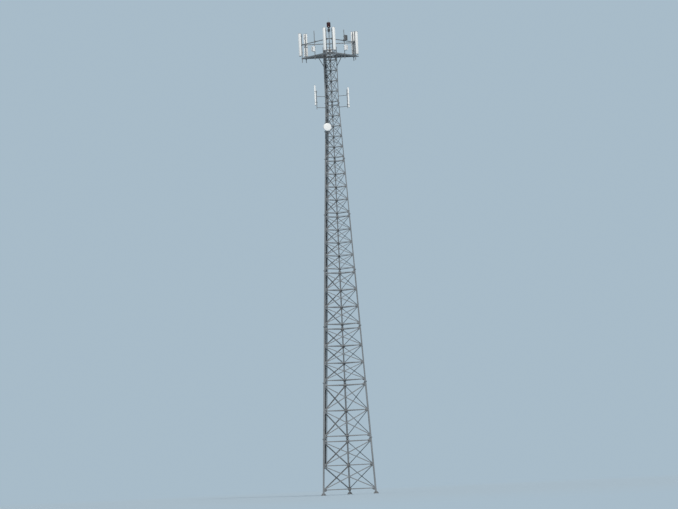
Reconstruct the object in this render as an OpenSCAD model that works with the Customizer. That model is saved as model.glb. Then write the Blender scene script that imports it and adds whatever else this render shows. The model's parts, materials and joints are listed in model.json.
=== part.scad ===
/* [Tower] */
// Height of one leg section
section_h = 4572; // [4300:4:4600]
// Width of the straight top section, leg centre to leg centre
top_face_w = 1066.8; // [1000:0.1:1200]
// Gain in face width for each millimetre down the tapered part
taper = 0.1; // [0.08:0.01:0.11]
// Outside diameter of the leg pipe in each section, lowest first
leg_ods = [141.3, 141.3, 114.3, 114.3, 101.6, 88.9, 73, 73]; // [70:0.1:145]
// Bracing panels in each section, lowest first
panel_counts = [2, 2, 3, 3, 4, 4, 5, 5]; // [1:1:5]
// Flange width of the brace angles in each section, lowest first
brace_ws = [76, 76, 64, 64, 51, 51, 45, 45]; // [40:1:80]
// Thickness of the brace angles
brace_t = 6; // [5:0.5:8]
// Thickness of the gusset plates
gusset_t = 10; // [8:1:12]

/* [Feet] */
// Diameter of a base plate
base_d = 430; // [410:5:460]
// Thickness of a base plate
base_t = 38; // [30:1:45]
// Diameter of the circle of anchor holes
anchor_pcd = 330; // [320:5:350]
// Anchor holes in each base plate
anchor_n = 6; // [4:1:8]
// Diameter of an anchor hole
anchor_d = 38; // [30:1:42]
// Height of the lowest horizontal brace
first_brace_z = 450; // [420:10:600]

/* [Platform] */
// Length of one side of the triangular platform
platform_side = 4572; // [4400:4:4800]
// Depth of the walking surface below the tops of the legs
deck_drop = 576; // [520:4:620]
// Thickness of the grating
grating_t = 30; // [25:1:40]
// Spacing of the grating's bearing bars
bearing_pitch = 100; // [80:5:140]
// Spacing of the grating's cross bars
cross_pitch = 300; // [200:10:400]
// Height of the handrail above the walking surface
rail_h = 1067; // [1000:1:1100]
// Outside diameter of the edge pipes
edge_d = 88.9; // [76:0.1:101]
// Outside diameter of the handrail pipes
rail_d = 73; // [48:0.1:76]

/* [Antennas] */
// Outside diameter of the pipes that hold the antennas
mast_d = 60.3; // [57:0.1:73]
// Height of a panel antenna
panel_h = 1830; // [1500:10:1900]
// Width of a panel antenna
panel_w = 300; // [250:5:330]
// Depth of a panel antenna
panel_depth = 150; // [120:5:180]
// Places of the left sector's antennas along its side
left_s = [-2130, 1940]; // [-2150:10:2150]
// Places of the right sector's antennas along its side
right_s = [-1940, 1760]; // [-2150:10:2150]
// Places of the rear sector's antennas along its side
rear_s = [-1950, 1960]; // [-2150:10:2150]
// Height of a side antenna
whip_h = 1600; // [1400:10:1700]
// Diameter of a side antenna
whip_d = 120; // [100:5:140]
// Diameter of the dish
dish_d = 620; // [560:10:680]

/* [Cables] */
// Cables in each of the two layers
cable_n = 6; // [4:1:6]
// Outside diameter of a cable
cable_d = 28; // [22:1:32]
// Width of the cable ladder between its rails
cable_ladder_w = 350; // [330:5:380]

/* [Hidden] */

steel = [0.72, 0.74, 0.75];
shell_white = [0.93, 0.94, 0.93];
rubber_black = [0.1, 0.1, 0.11];
lamp_red = [0.5, 0.06, 0.05];
box_grey = [0.62, 0.63, 0.64];

// Legs and faces are numbered left, right, rear, counter-clockwise from above
leg_dirs = [210, 330, 90];
left = 0;
right = 1;
rear = 2;
section_n = len(leg_ods);
lower_n = 4;
tower_h = section_n * section_h;
bend_z = (section_n - 1) * section_h;
deck_z = tower_h - deck_drop;
seat = 0.5;
weld = 0.4;
cut = 1;
small_fn = 16;
pipe_fn = 32;
disc_fn = 48;
plate_fn = 64;
filler_fn = 8;

function dir(a) = [cos(a), sin(a), 0];
function unit(v) = v / norm(v);
function face_w(z) = top_face_w + taper * max(0, bend_z - z);
function leg_r(z) = face_w(z) / sqrt(3);
function leg_at(k, z) = leg_r(z) * dir(leg_dirs[k % 3]) + [0, 0, z];
function leg_up(k, z) = z < bend_z ? unit(leg_at(k, bend_z) - leg_at(k, 0)) : [0, 0, 1];
function section_of(z) = min(section_n - 1, floor(z / section_h));
function leg_od(z) = leg_ods[section_of(z)];

// Direction along a face, and its outward normal, square to the leaning face
function face_e(k) = unit(leg_at(k + 1, 0) - leg_at(k, 0));
function face_mid(k, z) = (leg_at(k, z) + leg_at(k + 1, z)) / 2;
function face_up(k, z) = z < bend_z ? unit(face_mid(k, bend_z) - face_mid(k, 0)) : [0, 0, 1];
function face_n(k, z) = cross(face_e(k), face_up(k, z));

// Puts the children in a frame with a given origin and two square unit axes
module frame(o, x, y) {
    z = cross(x, y);
    multmatrix([
        [x.x, y.x, z.x, o.x],
        [x.y, y.y, z.y, o.y],
        [x.z, y.z, z.z, o.z],
        [0, 0, 0, 1]
    ]) children();
}

// Extrudes a profile from p to q, with the profile's second axis along n
module extrude_along(p, q, n) {
    u = unit(q - p);
    m = unit(n - (n * u) * u);
    frame(p, cross(m, u), m) linear_extrude(height = norm(q - p)) children();
}

module round_bar(p, q, d) {
    u = unit(q - p);
    side = abs(u.z) > 0.9 ? unit(cross(u, [0, 1, 0])) : unit(cross(u, [0, 0, 1]));
    frame(p, side, cross(u, side)) cylinder(h = norm(q - p), d = d, $fn = pipe_fn);
}

// The whole model stands with the rear foot on the origin
module at_foot() {
    translate([0, -leg_r(0), 0]) children();
}

// Legs

flange_over = 110;
flange_t = 22;
flange_bevel = 3;

// One flange of a pair: its face lies on p, and the pipe is on the side of away
module flange(p, away, d) {
    side = unit(cross(away, [0, 1, 0]));
    frame(p, side, cross(away, side)) {
        cylinder(h = flange_bevel, d1 = d - 2 * flange_bevel, d2 = d, $fn = disc_fn);
        translate([0, 0, flange_bevel]) cylinder(h = flange_t - flange_bevel, d = d, $fn = disc_fn);
    }
}

// The section below the bend ends inside its level top flange
module leg_section(k, j) {
    z0 = j * section_h;
    z1 = z0 + section_h;
    up = leg_up(k, z0);
    foot = j == 0 ? base_t / 2 : z0;
    head = j == section_n - 2 ? z1 - flange_t / 2 : z1;
    round_bar(leg_at(k, foot), leg_at(k, head), leg_ods[j]);
    if (j > 0) flange(leg_at(k, z0), up, leg_ods[j - 1] + flange_over);
    if (j < section_n - 1) flange(leg_at(k, z1), -leg_up(k, head == z1 ? z0 : z1), leg_ods[j] + flange_over);
}

stiffener_h = 160;
stiffener_t = 16;
stiffener_top = 20;
stiffener_toe = 25;
stiffener_edge = 12;

// A stiffener stands on the base plate, from inside the pipe's wall nearly to the plate's edge
module stiffener() {
    leg_rad = leg_ods[0] / 2;
    toe = base_d / 2 - stiffener_edge;
    rotate([90, 0, 0]) translate([0, base_t - seat, -stiffener_t / 2])
        linear_extrude(height = stiffener_t)
            polygon([[leg_rad - stiffener_top, 0], [toe, 0], [toe, stiffener_toe],
                [leg_rad + stiffener_top, stiffener_h], [leg_rad - stiffener_top, stiffener_h]]);
}

module base_plate(k) {
    turn = 360 / anchor_n;
    translate(leg_at(k, 0)) rotate([0, 0, leg_dirs[k]]) {
        difference() {
            cylinder(h = base_t, d = base_d, $fn = plate_fn);
            for (i = [0:anchor_n - 1])
                rotate([0, 0, i * turn]) translate([anchor_pcd / 2, 0, -cut])
                    cylinder(h = base_t + 2 * cut, d = anchor_d, $fn = pipe_fn);
        }
        for (i = [0:anchor_n - 1]) rotate([0, 0, (i + 0.5) * turn]) stiffener();
    }
}

cap_t = 10;
cap_over = 30;

module leg_cap(k) {
    translate(leg_at(k, tower_h))
        cylinder(h = cap_t, d = leg_ods[section_n - 1] + cap_over, $fn = pipe_fn);
}

module lower_leg(k) {
    color(steel) union() {
        for (j = [0:lower_n - 1]) leg_section(k, j);
        base_plate(k);
    }
}

module upper_leg(k) {
    color(steel) union() {
        for (j = [lower_n:section_n - 1]) leg_section(k, j);
        leg_cap(k);
    }
}

module leg_left_lower() at_foot() lower_leg(left);
module leg_left_upper() at_foot() upper_leg(left);
module leg_right_lower() at_foot() lower_leg(right);
module leg_right_upper() at_foot() upper_leg(right);
module leg_rear_lower() at_foot() lower_leg(rear);
module leg_rear_upper() at_foot() upper_leg(rear);

// Bracing: crossed angles back to back on gusset plates, with a filler where they cross

bar_clear = 5;
leg_clear = 10;
joint_clear = 60;
gusset_corner = 0.8;
gusset_end = 0.4;
filler_share = 0.8;

// Rise from a horizontal to the end of a diagonal, and the size of the gusset that takes them
function brace_gap(w) = w + bar_clear;
function gusset_half(w) = brace_gap(w) + w;
function gusset_reach(w) = 2.6 * w;
function bar_start(j) = leg_ods[j] / 2 + leg_clear + brace_ws[j] / 2;
function section_end(j) = gusset_half(brace_ws[j]) + joint_clear;
function panel_low(j) = j == 0 ? first_brace_z : j * section_h + section_end(j);
function panel_high(j) = (j + 1) * section_h - section_end(j);
function panel_z(j, i) = panel_low(j) + i * (panel_high(j) - panel_low(j)) / panel_counts[j];

module angle_profile(w, outside) {
    mirror([0, outside ? 0 : 1]) translate([0, gusset_t / 2 - seat])
        polygon([[-w / 2, 0], [w / 2, 0], [w / 2, brace_t], [brace_t - w / 2, brace_t],
            [brace_t - w / 2, w], [-w / 2, w]]);
}

module brace(k, j, z_from, z_to, outside) {
    e = face_e(k) * bar_start(j);
    p = leg_at(k, z_from) + e;
    q = leg_at(k + 1, z_to) - e;
    extrude_along(p, q, face_n(k, j * section_h)) angle_profile(brace_ws[j], outside);
}

module gusset(k, end, j, z) {
    w = brace_ws[j];
    r = leg_ods[j] / 2;
    h = gusset_half(w);
    corner = r + gusset_corner * w;
    reach = r + gusset_reach(w);
    n = face_n(k, j * section_h) * (end == 0 ? 1 : -1);
    up = leg_up(k + end, j * section_h);
    frame(leg_at(k + end, z), cross(up, n), up)
        translate([0, 0, -gusset_t / 2]) linear_extrude(height = gusset_t)
            polygon([[r - weld, -h], [corner, -h], [reach, -gusset_end * h],
                [reach, gusset_end * h], [corner, h], [r - weld, h]]);
}

// The fill plate between the two diagonals where they cross
module filler(k, j, z0, z1) {
    w0 = face_w(z0) - 2 * bar_start(j);
    w1 = face_w(z1) - 2 * bar_start(j);
    z = z0 + (z1 - z0) * w0 / (w0 + w1);
    n = face_n(k, j * section_h);
    frame(face_mid(k, z), face_e(k), face_up(k, j * section_h))
        translate([0, 0, -gusset_t / 2])
            cylinder(h = gusset_t, d = filler_share * brace_ws[j], $fn = filler_fn);
}

module panel(k, j, i) {
    gap = brace_gap(brace_ws[j]);
    z0 = panel_z(j, i) + gap;
    z1 = panel_z(j, i + 1) - gap;
    brace(k, j, z0, z1, true);
    brace(k, j, z1, z0, false);
    filler(k, j, z0, z1);
}

module bracing(k, from, to) {
    color(steel) union()
        for (j = [from:to]) {
            for (i = [0:panel_counts[j] - 1]) panel(k, j, i);
            for (i = [0:panel_counts[j]]) {
                brace(k, j, panel_z(j, i), panel_z(j, i), true);
                gusset(k, 0, j, panel_z(j, i));
                gusset(k, 1, j, panel_z(j, i));
            }
        }
}

module bracing_front_lower() at_foot() bracing(left, 0, 3);
module bracing_front_upper() at_foot() bracing(left, 4, 6);
module bracing_front_top() at_foot() bracing(left, 7, 7);
module bracing_right_lower() at_foot() bracing(right, 0, 3);
module bracing_right_upper() at_foot() bracing(right, 4, 6);
module bracing_right_top() at_foot() bracing(right, 7, 7);
module bracing_left_lower() at_foot() bracing(rear, 0, 3);
module bracing_left_upper() at_foot() bracing(rear, 4, 6);
module bracing_left_top() at_foot() bracing(rear, 7, 7);

// Platform: three arms from the legs, a grating ring in three pieces, and edge pipes

platform_in = platform_side / (2 * sqrt(3));
arm_w = 90;
arm_h = 100;
arm_top = deck_z - grating_t;
top_od = leg_ods[section_n - 1];
top_r = top_face_w / sqrt(3);
collar_t = 14;
collar_ear = 3.2;
collar_h = 140;
arm_collar_h = 120;
arm_collar_z = arm_top - arm_collar_h;
strut_z = deck_z - 900;
strut_d = 60.3;
strut_in = 110;
edge_z = arm_top - edge_d / 2;

// Sectors face left, right and rear: x outward, y along the side
module sector(k) {
    rotate([0, 0, leg_dirs[k]]) children();
}

// A clamp round a pipe: a ring with an ear on each side for its bolts
module collar(d, h, t = collar_t) {
    reach = d / 2 + collar_ear * t;
    difference() {
        union() {
            cylinder(h = h, d = d + 2 * t, $fn = disc_fn);
            translate([-t / 2, -reach, 0]) cube([t, 2 * reach, h]);
        }
        translate([0, 0, -cut]) cylinder(h = h + 2 * cut, d = d, $fn = pipe_fn);
    }
}

// An arm beam coped round the leg's collar, and a strut up to it from a second collar
module platform_arm() {
    stop = platform_in - edge_d / 2 + weld;
    low = arm_top - arm_h;
    cope_d = top_od + collar_t;
    translate([top_r, 0, arm_collar_z]) collar(top_od, arm_collar_h);
    translate([top_r, 0, strut_z - collar_h / 2]) collar(top_od, collar_h);
    difference() {
        translate([top_r, -arm_w / 2, low]) cube([stop - top_r, arm_w, arm_h]);
        translate([top_r, 0, low - cut]) cylinder(h = arm_h + 2 * cut, d = cope_d, $fn = pipe_fn);
    }
    round_bar([top_r + cope_d / 2, 0, strut_z], [stop - strut_in, 0, low + strut_d / 6], strut_d);
}

module platform_arms() at_foot()
    color(steel) for (k = [left, right, rear]) sector(k) platform_arm();

deck_in = 400;
deck_edge = platform_in;
deck_gap = 4;
tip_cut = 150;
frame_bar = 12;
bearing_bar = 6;
cross_bar = 8;
ladder_in = 520;
hatch_w = 460;
hatch_out = 620;
hatch_at = top_face_w / 2 - ladder_in;

// One third of the deck in plan, drawn inset, with its corner on the x axis
module deck_outline(inset = 0) {
    side = inset + deck_gap;
    edge = deck_edge - inset;
    x0 = deck_in + inset;
    x1 = (edge + sqrt(3) * side) / 2;
    x2 = 2 * deck_edge - tip_cut - inset;
    y0 = x0 * sqrt(3) - 2 * side;
    y1 = x1 * sqrt(3) - 2 * side;
    y2 = (edge - x2 / 2) / sin(60);
    polygon([[x0, -y0], [x1, -y1], [x2, -y2], [x2, y2], [x1, y1], [x0, y0]]);
}

module grating_bars() {
    reach = 2 * platform_in;
    for (y = [-reach:bearing_pitch:reach])
        translate([0, y - bearing_bar / 2]) square([reach, bearing_bar]);
    for (x = [cross_pitch / 2:cross_pitch:reach])
        translate([x - cross_bar / 2, -reach]) square([cross_bar, 2 * reach]);
}

module hatch(grow) {
    translate([0, hatch_at - hatch_w / 2 - grow])
        square([hatch_out + grow, hatch_w + 2 * grow]);
}

module deck_plan(has_hatch) {
    difference() {
        union() {
            difference() {
                deck_outline();
                deck_outline(frame_bar);
            }
            intersection() {
                deck_outline(frame_bar / 2);
                grating_bars();
            }
            if (has_hatch) intersection() {
                deck_outline();
                hatch(frame_bar);
            }
        }
        if (has_hatch) hatch(0);
    }
}

module deck(angle, has_hatch = false) {
    color(steel) rotate([0, 0, angle]) translate([0, 0, arm_top])
        linear_extrude(height = grating_t) deck_plan(has_hatch);
}

module deck_front() at_foot() deck(270);
module deck_left() at_foot() deck(150, true);
module deck_right() at_foot() deck(30);

// A pipe along one side of the platform, mitred at both corners
module side_pipe(x, z, d) {
    reach = x * tan(60) + 4 * d;
    intersection() {
        translate([x, reach, z]) rotate([90, 0, 0]) cylinder(h = 2 * reach, d = d, $fn = pipe_fn);
        translate([0, 0, z - d]) linear_extrude(height = 2 * d)
            polygon([[0, 0], [x + d, -(x + d) * tan(60)], [x + d, (x + d) * tan(60)]]);
    }
}

module edge_pipe(k) {
    color(steel) sector(k) side_pipe(platform_in, edge_z, edge_d);
}

module edge_pipe_left() at_foot() edge_pipe(left);
module edge_pipe_right() at_foot() edge_pipe(right);
module edge_pipe_rear() at_foot() edge_pipe(rear);

// Mast pipes stand outside the edge pipes and carry the handrail on their inner side
clamp_t = 16;
clamp_bite = 3;
mast_x = platform_in + edge_d / 2 + clamp_t - clamp_bite + mast_d / 2;
mast_low = deck_z - 420;
mast_high = deck_z + 1960;
clamp_x = mast_x - mast_d / 2 - clamp_t + clamp_bite;
clamp_size = 150;
rail_x = clamp_x - rail_d / 2;
rail_z = deck_z + rail_h;

function sector_s(k) = k == left ? left_s : k == right ? right_s : rear_s;

module mast_pipe(s) {
    translate([mast_x, s, mast_low]) cylinder(h = mast_high - mast_low, d = mast_d, $fn = pipe_fn);
    for (z = [edge_z, rail_z]) translate([clamp_x, s - clamp_size / 2, z - clamp_size / 2])
        cube([clamp_t, clamp_size, clamp_size]);
}

module mast_pipes(k) {
    color(steel) sector(k) for (s = [sector_s(k)[0], 0, sector_s(k)[1]]) mast_pipe(s);
}

module mast_pipes_left() at_foot() mast_pipes(left);
module mast_pipes_right() at_foot() mast_pipes(right);
module mast_pipes_rear() at_foot() mast_pipes(rear);

module handrail(k) {
    color(steel) sector(k) side_pipe(rail_x, rail_z, rail_d);
}

module handrail_left() at_foot() handrail(left);
module handrail_right() at_foot() handrail(right);
module handrail_rear() at_foot() handrail(rear);

// Panel antennas: a shallow curved cover, end trays, a bracket at each end, and sockets below
panel_low_z = deck_z + 150;
panel_back = 110;
tray_over = 4;
tray_h = 25;
corner_share = 0.28;
corner_n = 4;
bow_n = 16;
bow_power = 0.55;

// Points of a quarter turn at one back corner of the cover, about its centre
function cover_corner(r, i) = let (a = i * 90 / corner_n) [r - r * cos(a), r * sin(a)];

// Outline of the cover: flat back with round corners, bowed front
function cover_outline(w, d) = let (r = d * corner_share, back = w / 2 - r) concat(
    [for (i = [0:corner_n]) let (p = cover_corner(r, i)) [p.x, -back - p.y]],
    [for (i = [0:bow_n]) let (a = -90 + i * 180 / bow_n)
        [r + (d - r) * pow(cos(a), bow_power), (w / 2) * sin(a)]],
    [for (i = [corner_n:-1:0]) let (p = cover_corner(r, i)) [p.x, back + p.y]]
);

module cover(w, d, h) {
    linear_extrude(height = h) polygon(cover_outline(w, d));
}

ring_t = 8;
cheek_t = 6;
cheek_out = 5;
cheek_from = 10;
bracket_h = 60;
bracket_in = 250;

// A clamp ring on a pipe, and two cheeks and a plate that hold a housing at reach
module bracket(d, reach) {
    half = d / 2 + cheek_out;
    collar(d, bracket_h, ring_t);
    for (y = [-half, half - cheek_t]) translate([cheek_from, y, 0])
        cube([reach - cheek_from, cheek_t, bracket_h]);
    translate([reach - cheek_t, -half, 0]) cube([cheek_t + seat, 2 * half, bracket_h]);
}

socket_d = 30;
socket_h = 40;
panel_sockets = 4;
panel_socket_pitch = 60;

// A row of sockets under a housing, at x across it
module sockets(x, n, pitch) {
    for (i = [0:n - 1]) translate([x, (i - (n - 1) / 2) * pitch, -socket_h])
        cylinder(h = socket_h + seat, d = socket_d, $fn = small_fn);
}

module panel_antenna(k, s, lower = 0) {
    z = panel_low_z - lower;
    color(shell_white) sector(k) translate([mast_x, s, z]) {
        translate([panel_back, 0, 0]) {
            cover(panel_w, panel_depth, panel_h);
            for (h = [-tray_h, panel_h]) translate([-tray_over / 2, 0, h])
                cover(panel_w + tray_over, panel_depth + tray_over, tray_h);
            translate([0, 0, -tray_h])
                sockets(panel_depth / 2, panel_sockets, panel_socket_pitch);
        }
        for (h = [bracket_in, panel_h - bracket_in])
            translate([0, 0, h - bracket_h / 2]) bracket(mast_d, panel_back);
    }
}

module panel_left_near() at_foot() panel_antenna(left, left_s[1]);
module panel_left_far() at_foot() panel_antenna(left, left_s[0]);
module panel_right_near() at_foot() panel_antenna(right, right_s[0]);
module panel_right_far() at_foot() panel_antenna(right, right_s[1], 80);
module panel_rear_left() at_foot() panel_antenna(rear, rear_s[1]);
module panel_rear_right() at_foot() panel_antenna(rear, rear_s[0]);

// Radio units: finned boxes on the middle mast pipe of each sector
radio_w = 310;
radio_d = 130;
radio_h = 420;
radio_gap = 60;
radio_edge = 10;
radio_brackets = [0.25, 0.75];
radio_z = [[260], [260, 1075], [260]];
radio_sockets = 3;
radio_socket_pitch = 80;
fin_d = 45;
fin_n = 13;
fin_t = 5;
fin_in = 14;
fin_slope = 12;

// A box outline from x = 0 with its corners cut off
module cut_corners(d, w, c) {
    polygon([[0, c - w / 2], [c, -w / 2], [d - c, -w / 2], [d, c - w / 2],
        [d, w / 2 - c], [d - c, w / 2], [c, w / 2], [0, w / 2 - c]]);
}

// One cooling fin, with its outer corners sloped
module fin() {
    x = radio_d + fin_d;
    top = radio_h - fin_in;
    rotate([90, 0, 0]) linear_extrude(height = fin_t, center = true)
        polygon([[radio_d - seat, fin_in], [x - fin_slope, fin_in], [x, fin_in + fin_slope],
            [x, top - fin_slope], [x - fin_slope, top], [radio_d - seat, top]]);
}

module radio_unit() {
    reach = radio_w / 2 - radio_edge - fin_t / 2;
    translate([radio_gap, 0, 0]) {
        linear_extrude(height = radio_h) cut_corners(radio_d, radio_w, radio_edge);
        for (i = [0:fin_n - 1]) translate([0, (2 * i / (fin_n - 1) - 1) * reach, 0]) fin();
        sockets(radio_d / 2, radio_sockets, radio_socket_pitch);
    }
    for (h = radio_brackets)
        translate([0, 0, h * radio_h - bracket_h / 2]) bracket(mast_d, radio_gap);
}

module radio_units() at_foot()
    color(box_grey) for (k = [left, right, rear], z = radio_z[k])
        sector(k) translate([mast_x, 0, deck_z + z]) radio_unit();

// A central pole that a three-legged spider holds over the leg caps
spider_z = tower_h + cap_t;
spider_w = 60;
spider_t = 12;
spider_over = 40;
hub_d = 140;
hub_h = 60;
pole_d = 73;
pole_top = tower_h + 1664;
plate_d = 200;

module beacon_pole() at_foot() color(steel) {
    for (a = leg_dirs) rotate([0, 0, a]) translate([0, -spider_w / 2, spider_z])
        cube([top_r + spider_over, spider_w, spider_t]);
    translate([0, 0, spider_z]) cylinder(h = hub_h, d = hub_d, $fn = disc_fn);
    translate([0, 0, spider_z]) cylinder(h = pole_top - spider_z, d = pole_d, $fn = pipe_fn);
    translate([0, 0, pole_top - spider_t]) cylinder(h = spider_t, d = plate_d, $fn = disc_fn);
}

// Beacon on the pole's top plate, and its control box on the front of the pole
control_w = 220;
control_d = 110;
control_h = 250;
control_z = pole_top - 330;
control_gap = 52;
control_edge = 8;
control_brackets = [0.22, 0.78];

module control_box() {
    rotate([0, 0, -90]) {
        translate([control_gap, 0, 0])
            linear_extrude(height = control_h) cut_corners(control_d, control_w, control_edge);
        for (h = control_brackets)
            translate([0, 0, h * control_h - bracket_h / 2]) bracket(pole_d, control_gap);
    }
}

beacon_foot_r = 105;
foot_h = 40;
lens_r = 165;
lens_z = 90;
lens_h = 260;
lens_ring = 26;
lens_in = 10;
lens_deep = 8;
lid_z = lens_z + lens_h + 40;
lid_h = 90;

// Radius of the ribbed lens at a height t above its lower edge
function lens_wave(t) = lens_r - lens_in + lens_deep * abs(cos(180 * t / lens_ring));

module beacon() at_foot() color(lamp_red) {
    translate([0, 0, pole_top]) rotate_extrude($fn = disc_fn)
        polygon(concat(
            [[0, 0], [beacon_foot_r, 0], [beacon_foot_r, foot_h], [lens_r, 1.5 * foot_h], [lens_r, lens_z]],
            [for (t = [0:lens_ring / 2:lens_h]) [lens_wave(t), lens_z + t]],
            [[lens_r, lens_z + lens_h + lens_in]],
            [for (a = [0:15:75]) [lens_r * cos(a), lid_z + lid_h * sin(a)]],
            [[0, lid_z + lid_h]]
        ));
    translate([0, 0, control_z]) control_box();
}

rod_d = 16;
rod_off = 300;
rod_low = pole_top - 740;
rod_top = pole_top + 960;
tip_h = 40;
tip_d = 3;
stay_w = 30;
stay_t = 12;
stay_rises = [60, 300];

module lightning_rod() at_foot() color(steel) translate([0, rod_off, 0]) {
    translate([0, 0, rod_low])
        cylinder(h = rod_top - rod_low - tip_h, d = rod_d, $fn = small_fn);
    translate([0, 0, rod_top - tip_h]) cylinder(h = tip_h, d1 = rod_d, d2 = tip_d, $fn = small_fn);
    for (h = stay_rises)
        translate([-stay_w / 2, pole_d / 2 - rod_off - weld, rod_low + h])
            cube([stay_w, rod_off - pole_d / 2 + rod_d, stay_t]);
}

// Side antennas on pipes that two arms hold off each front leg
arm_pipe_d = 48.3;
side_out = 830;
side_low = bend_z - 354;
side_high = bend_z + 556;
side_pipe_low = side_low - 150;
side_pipe_high = side_high + 490;
side_collar_h = 100;
// Lower ends of the left and the right side antenna
whip_lows = [side_low + 220, side_low - 70];
whip_brackets = [180, 1050];
whip_off = 120;
ferrule_h = 30;
ferrule_d = whip_d - 30;

module side_arm(k) {
    color(steel) sector(k) {
        for (z = [side_low, side_high]) {
            lean = z < bend_z ? -atan(taper / sqrt(3)) : 0;
            start = leg_r(z) + (top_od + collar_t) / 2;
            low = z - side_collar_h / 2;
            translate([leg_r(low), 0, low]) rotate([0, lean, 0]) collar(top_od, side_collar_h);
            round_bar([start, 0, z], [top_r + side_out, 0, z], arm_pipe_d);
        }
        translate([top_r + side_out, 0, side_pipe_low])
            cylinder(h = side_pipe_high - side_pipe_low, d = mast_d, $fn = pipe_fn);
    }
}

module side_arm_left() at_foot() side_arm(left);
module side_arm_right() at_foot() side_arm(right);

module side_antenna(k) {
    color(shell_white) sector(k) translate([top_r + side_out, 0, whip_lows[k]]) {
        translate([whip_off, 0, 0]) {
            cylinder(h = whip_h, d = whip_d, $fn = disc_fn);
            translate([0, 0, -ferrule_h])
                cylinder(h = whip_h + 2 * ferrule_h, d = ferrule_d, $fn = disc_fn);
        }
        for (h = whip_brackets)
            translate([0, 0, h]) bracket(mast_d, whip_off - whip_d / 4);
    }
}

module side_antenna_left() at_foot() side_antenna(left);
module side_antenna_right() at_foot() side_antenna(right);

// Dish on a short pipe held off the front left leg
dish_z = bend_z - 2004;
dish_pipe_out = 260;
dish_pipe_dir = 280;
dish_pipe_h = 900;
dish_arms = [-330, 340];
dish_dir = 285;
dish_ahead = 160;
dish_back = 110;
dish_sunk = 20;
shroud_d = 300;
rim_in = 12;
rim_h = 10;
cover_h = 32;
mount_w = 120;
mount_h = 180;

function dish_pipe_at(z) = leg_at(left, dish_z) + dish_pipe_out * dir(dish_pipe_dir)
    + [0, 0, z - dish_z];

module dish_mount() at_foot() color(steel) {
    translate(dish_pipe_at(dish_z - dish_pipe_h / 2))
        cylinder(h = dish_pipe_h, d = mast_d, $fn = pipe_fn);
    for (h = dish_arms) {
        z = dish_z + h;
        q = leg_at(left, z);
        up = leg_up(left, z);
        e = unit(dish_pipe_at(z) - q);
        side = unit(e - (e * up) * up);
        frame(q - side_collar_h / 2 * up, side, cross(up, side)) collar(leg_od(z), side_collar_h);
        round_bar(q + e * (leg_od(z) + collar_t) / 2, dish_pipe_at(z), arm_pipe_d);
    }
}

function dish_curve(x) = dish_back * pow(x / (dish_d / 2), 2);

module dish() at_foot() color(shell_white) translate(dish_pipe_at(dish_z)) rotate([0, 0, dish_dir]) {
    translate([dish_ahead, 0, 0]) rotate([0, 90, 0]) rotate_extrude($fn = plate_fn)
        polygon(concat(
            [for (r = [0:dish_d / 12:dish_d / 2]) [r, dish_curve(r) - dish_sunk]],
            [[dish_d / 2, shroud_d], [dish_d / 2 - rim_in, shroud_d + rim_h]],
            [[dish_d / 4, shroud_d + 0.8 * cover_h], [0, shroud_d + cover_h]]
        ));
    translate([(mast_d + ring_t) / 2, -mount_w / 2, -mount_h / 2])
        cube([dish_ahead - mast_d / 2, mount_w, mount_h]);
    translate([0, 0, -mount_h / 2]) collar(mast_d, mount_h, ring_t);
}

// Cable ladder outside the left face, beside the front left leg
ladder_low = 2150;
ladder_top = tower_h + 324;
ladder_off = 100;
ladder_lap = 5;
rail_deep = 50;
rail_thick = 8;
rung_w = 30;
rung_t = 8;
rung_pitch = 900;
rung_end = 150;
rung_n = floor((ladder_top - ladder_low - 2 * rung_end) / rung_pitch);
ladder_bracket_w = 40;

// A point of the ladder: across its width, out from the face, at a height
function ladder_at(x, out, z) = leg_at(left, z)
    + (ladder_in + x) * -face_e(rear) + out * dir(150);

module ladder_strip(x, z0, z1) {
    p = ladder_at(x, ladder_off + rail_deep / 2, z0);
    q = ladder_at(x, ladder_off + rail_deep / 2, z1);
    extrude_along(p, q, dir(150)) square([rail_thick, rail_deep], center = true);
}

module ladder_rung(z) {
    half = cable_ladder_w / 2;
    p = ladder_at(-half, ladder_off + rail_deep - rung_t / 2, z);
    q = ladder_at(half, ladder_off + rail_deep - rung_t / 2, z);
    extrude_along(p, q, dir(150)) square([rung_w, rung_t], center = true);
}

// A bracket bar lies on the outer flange of a horizontal brace and ends in the ladder's rail
module ladder_bracket(x, j, z) {
    n = face_n(rear, z);
    up = face_up(rear, z);
    rise = brace_t - seat + (ladder_bracket_w - brace_ws[j]) / 2;
    foot = ladder_at(x, 0, z) + rise * up;
    near = gusset_t / 2 + 2 * brace_t;
    extrude_along(foot + near * n, foot + (ladder_off + rail_deep / 5) * n, up)
        square(ladder_bracket_w, center = true);
}

module cable_ladder() at_foot() color(steel) {
    half = cable_ladder_w / 2;
    for (x = [-half, half]) {
        ladder_strip(x, ladder_low, bend_z);
        ladder_strip(x, bend_z - ladder_lap, ladder_top);
    }
    for (i = [0:rung_n]) ladder_rung(ladder_low + rung_end + i * rung_pitch);
    for (j = [0:section_n - 1], z = [panel_low(j), panel_high(j)])
        if (z > ladder_low) for (x = [-half, half]) ladder_bracket(x, j, z);
}

// Cables clamped to the rungs in two layers, each with a connector at both ends
cable_pitch = 46;
layer_gap = 8;
cable_low = 2400;
cable_top = tower_h - 76;
cable_sides = 8;
plug_d = 34;
plug_h = 70;

function tube_ring(c, x, y, r) = [for (i = [0:cable_sides - 1])
    let (a = i * 360 / cable_sides) c + r * (cos(a) * x + sin(a) * y)];

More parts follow.
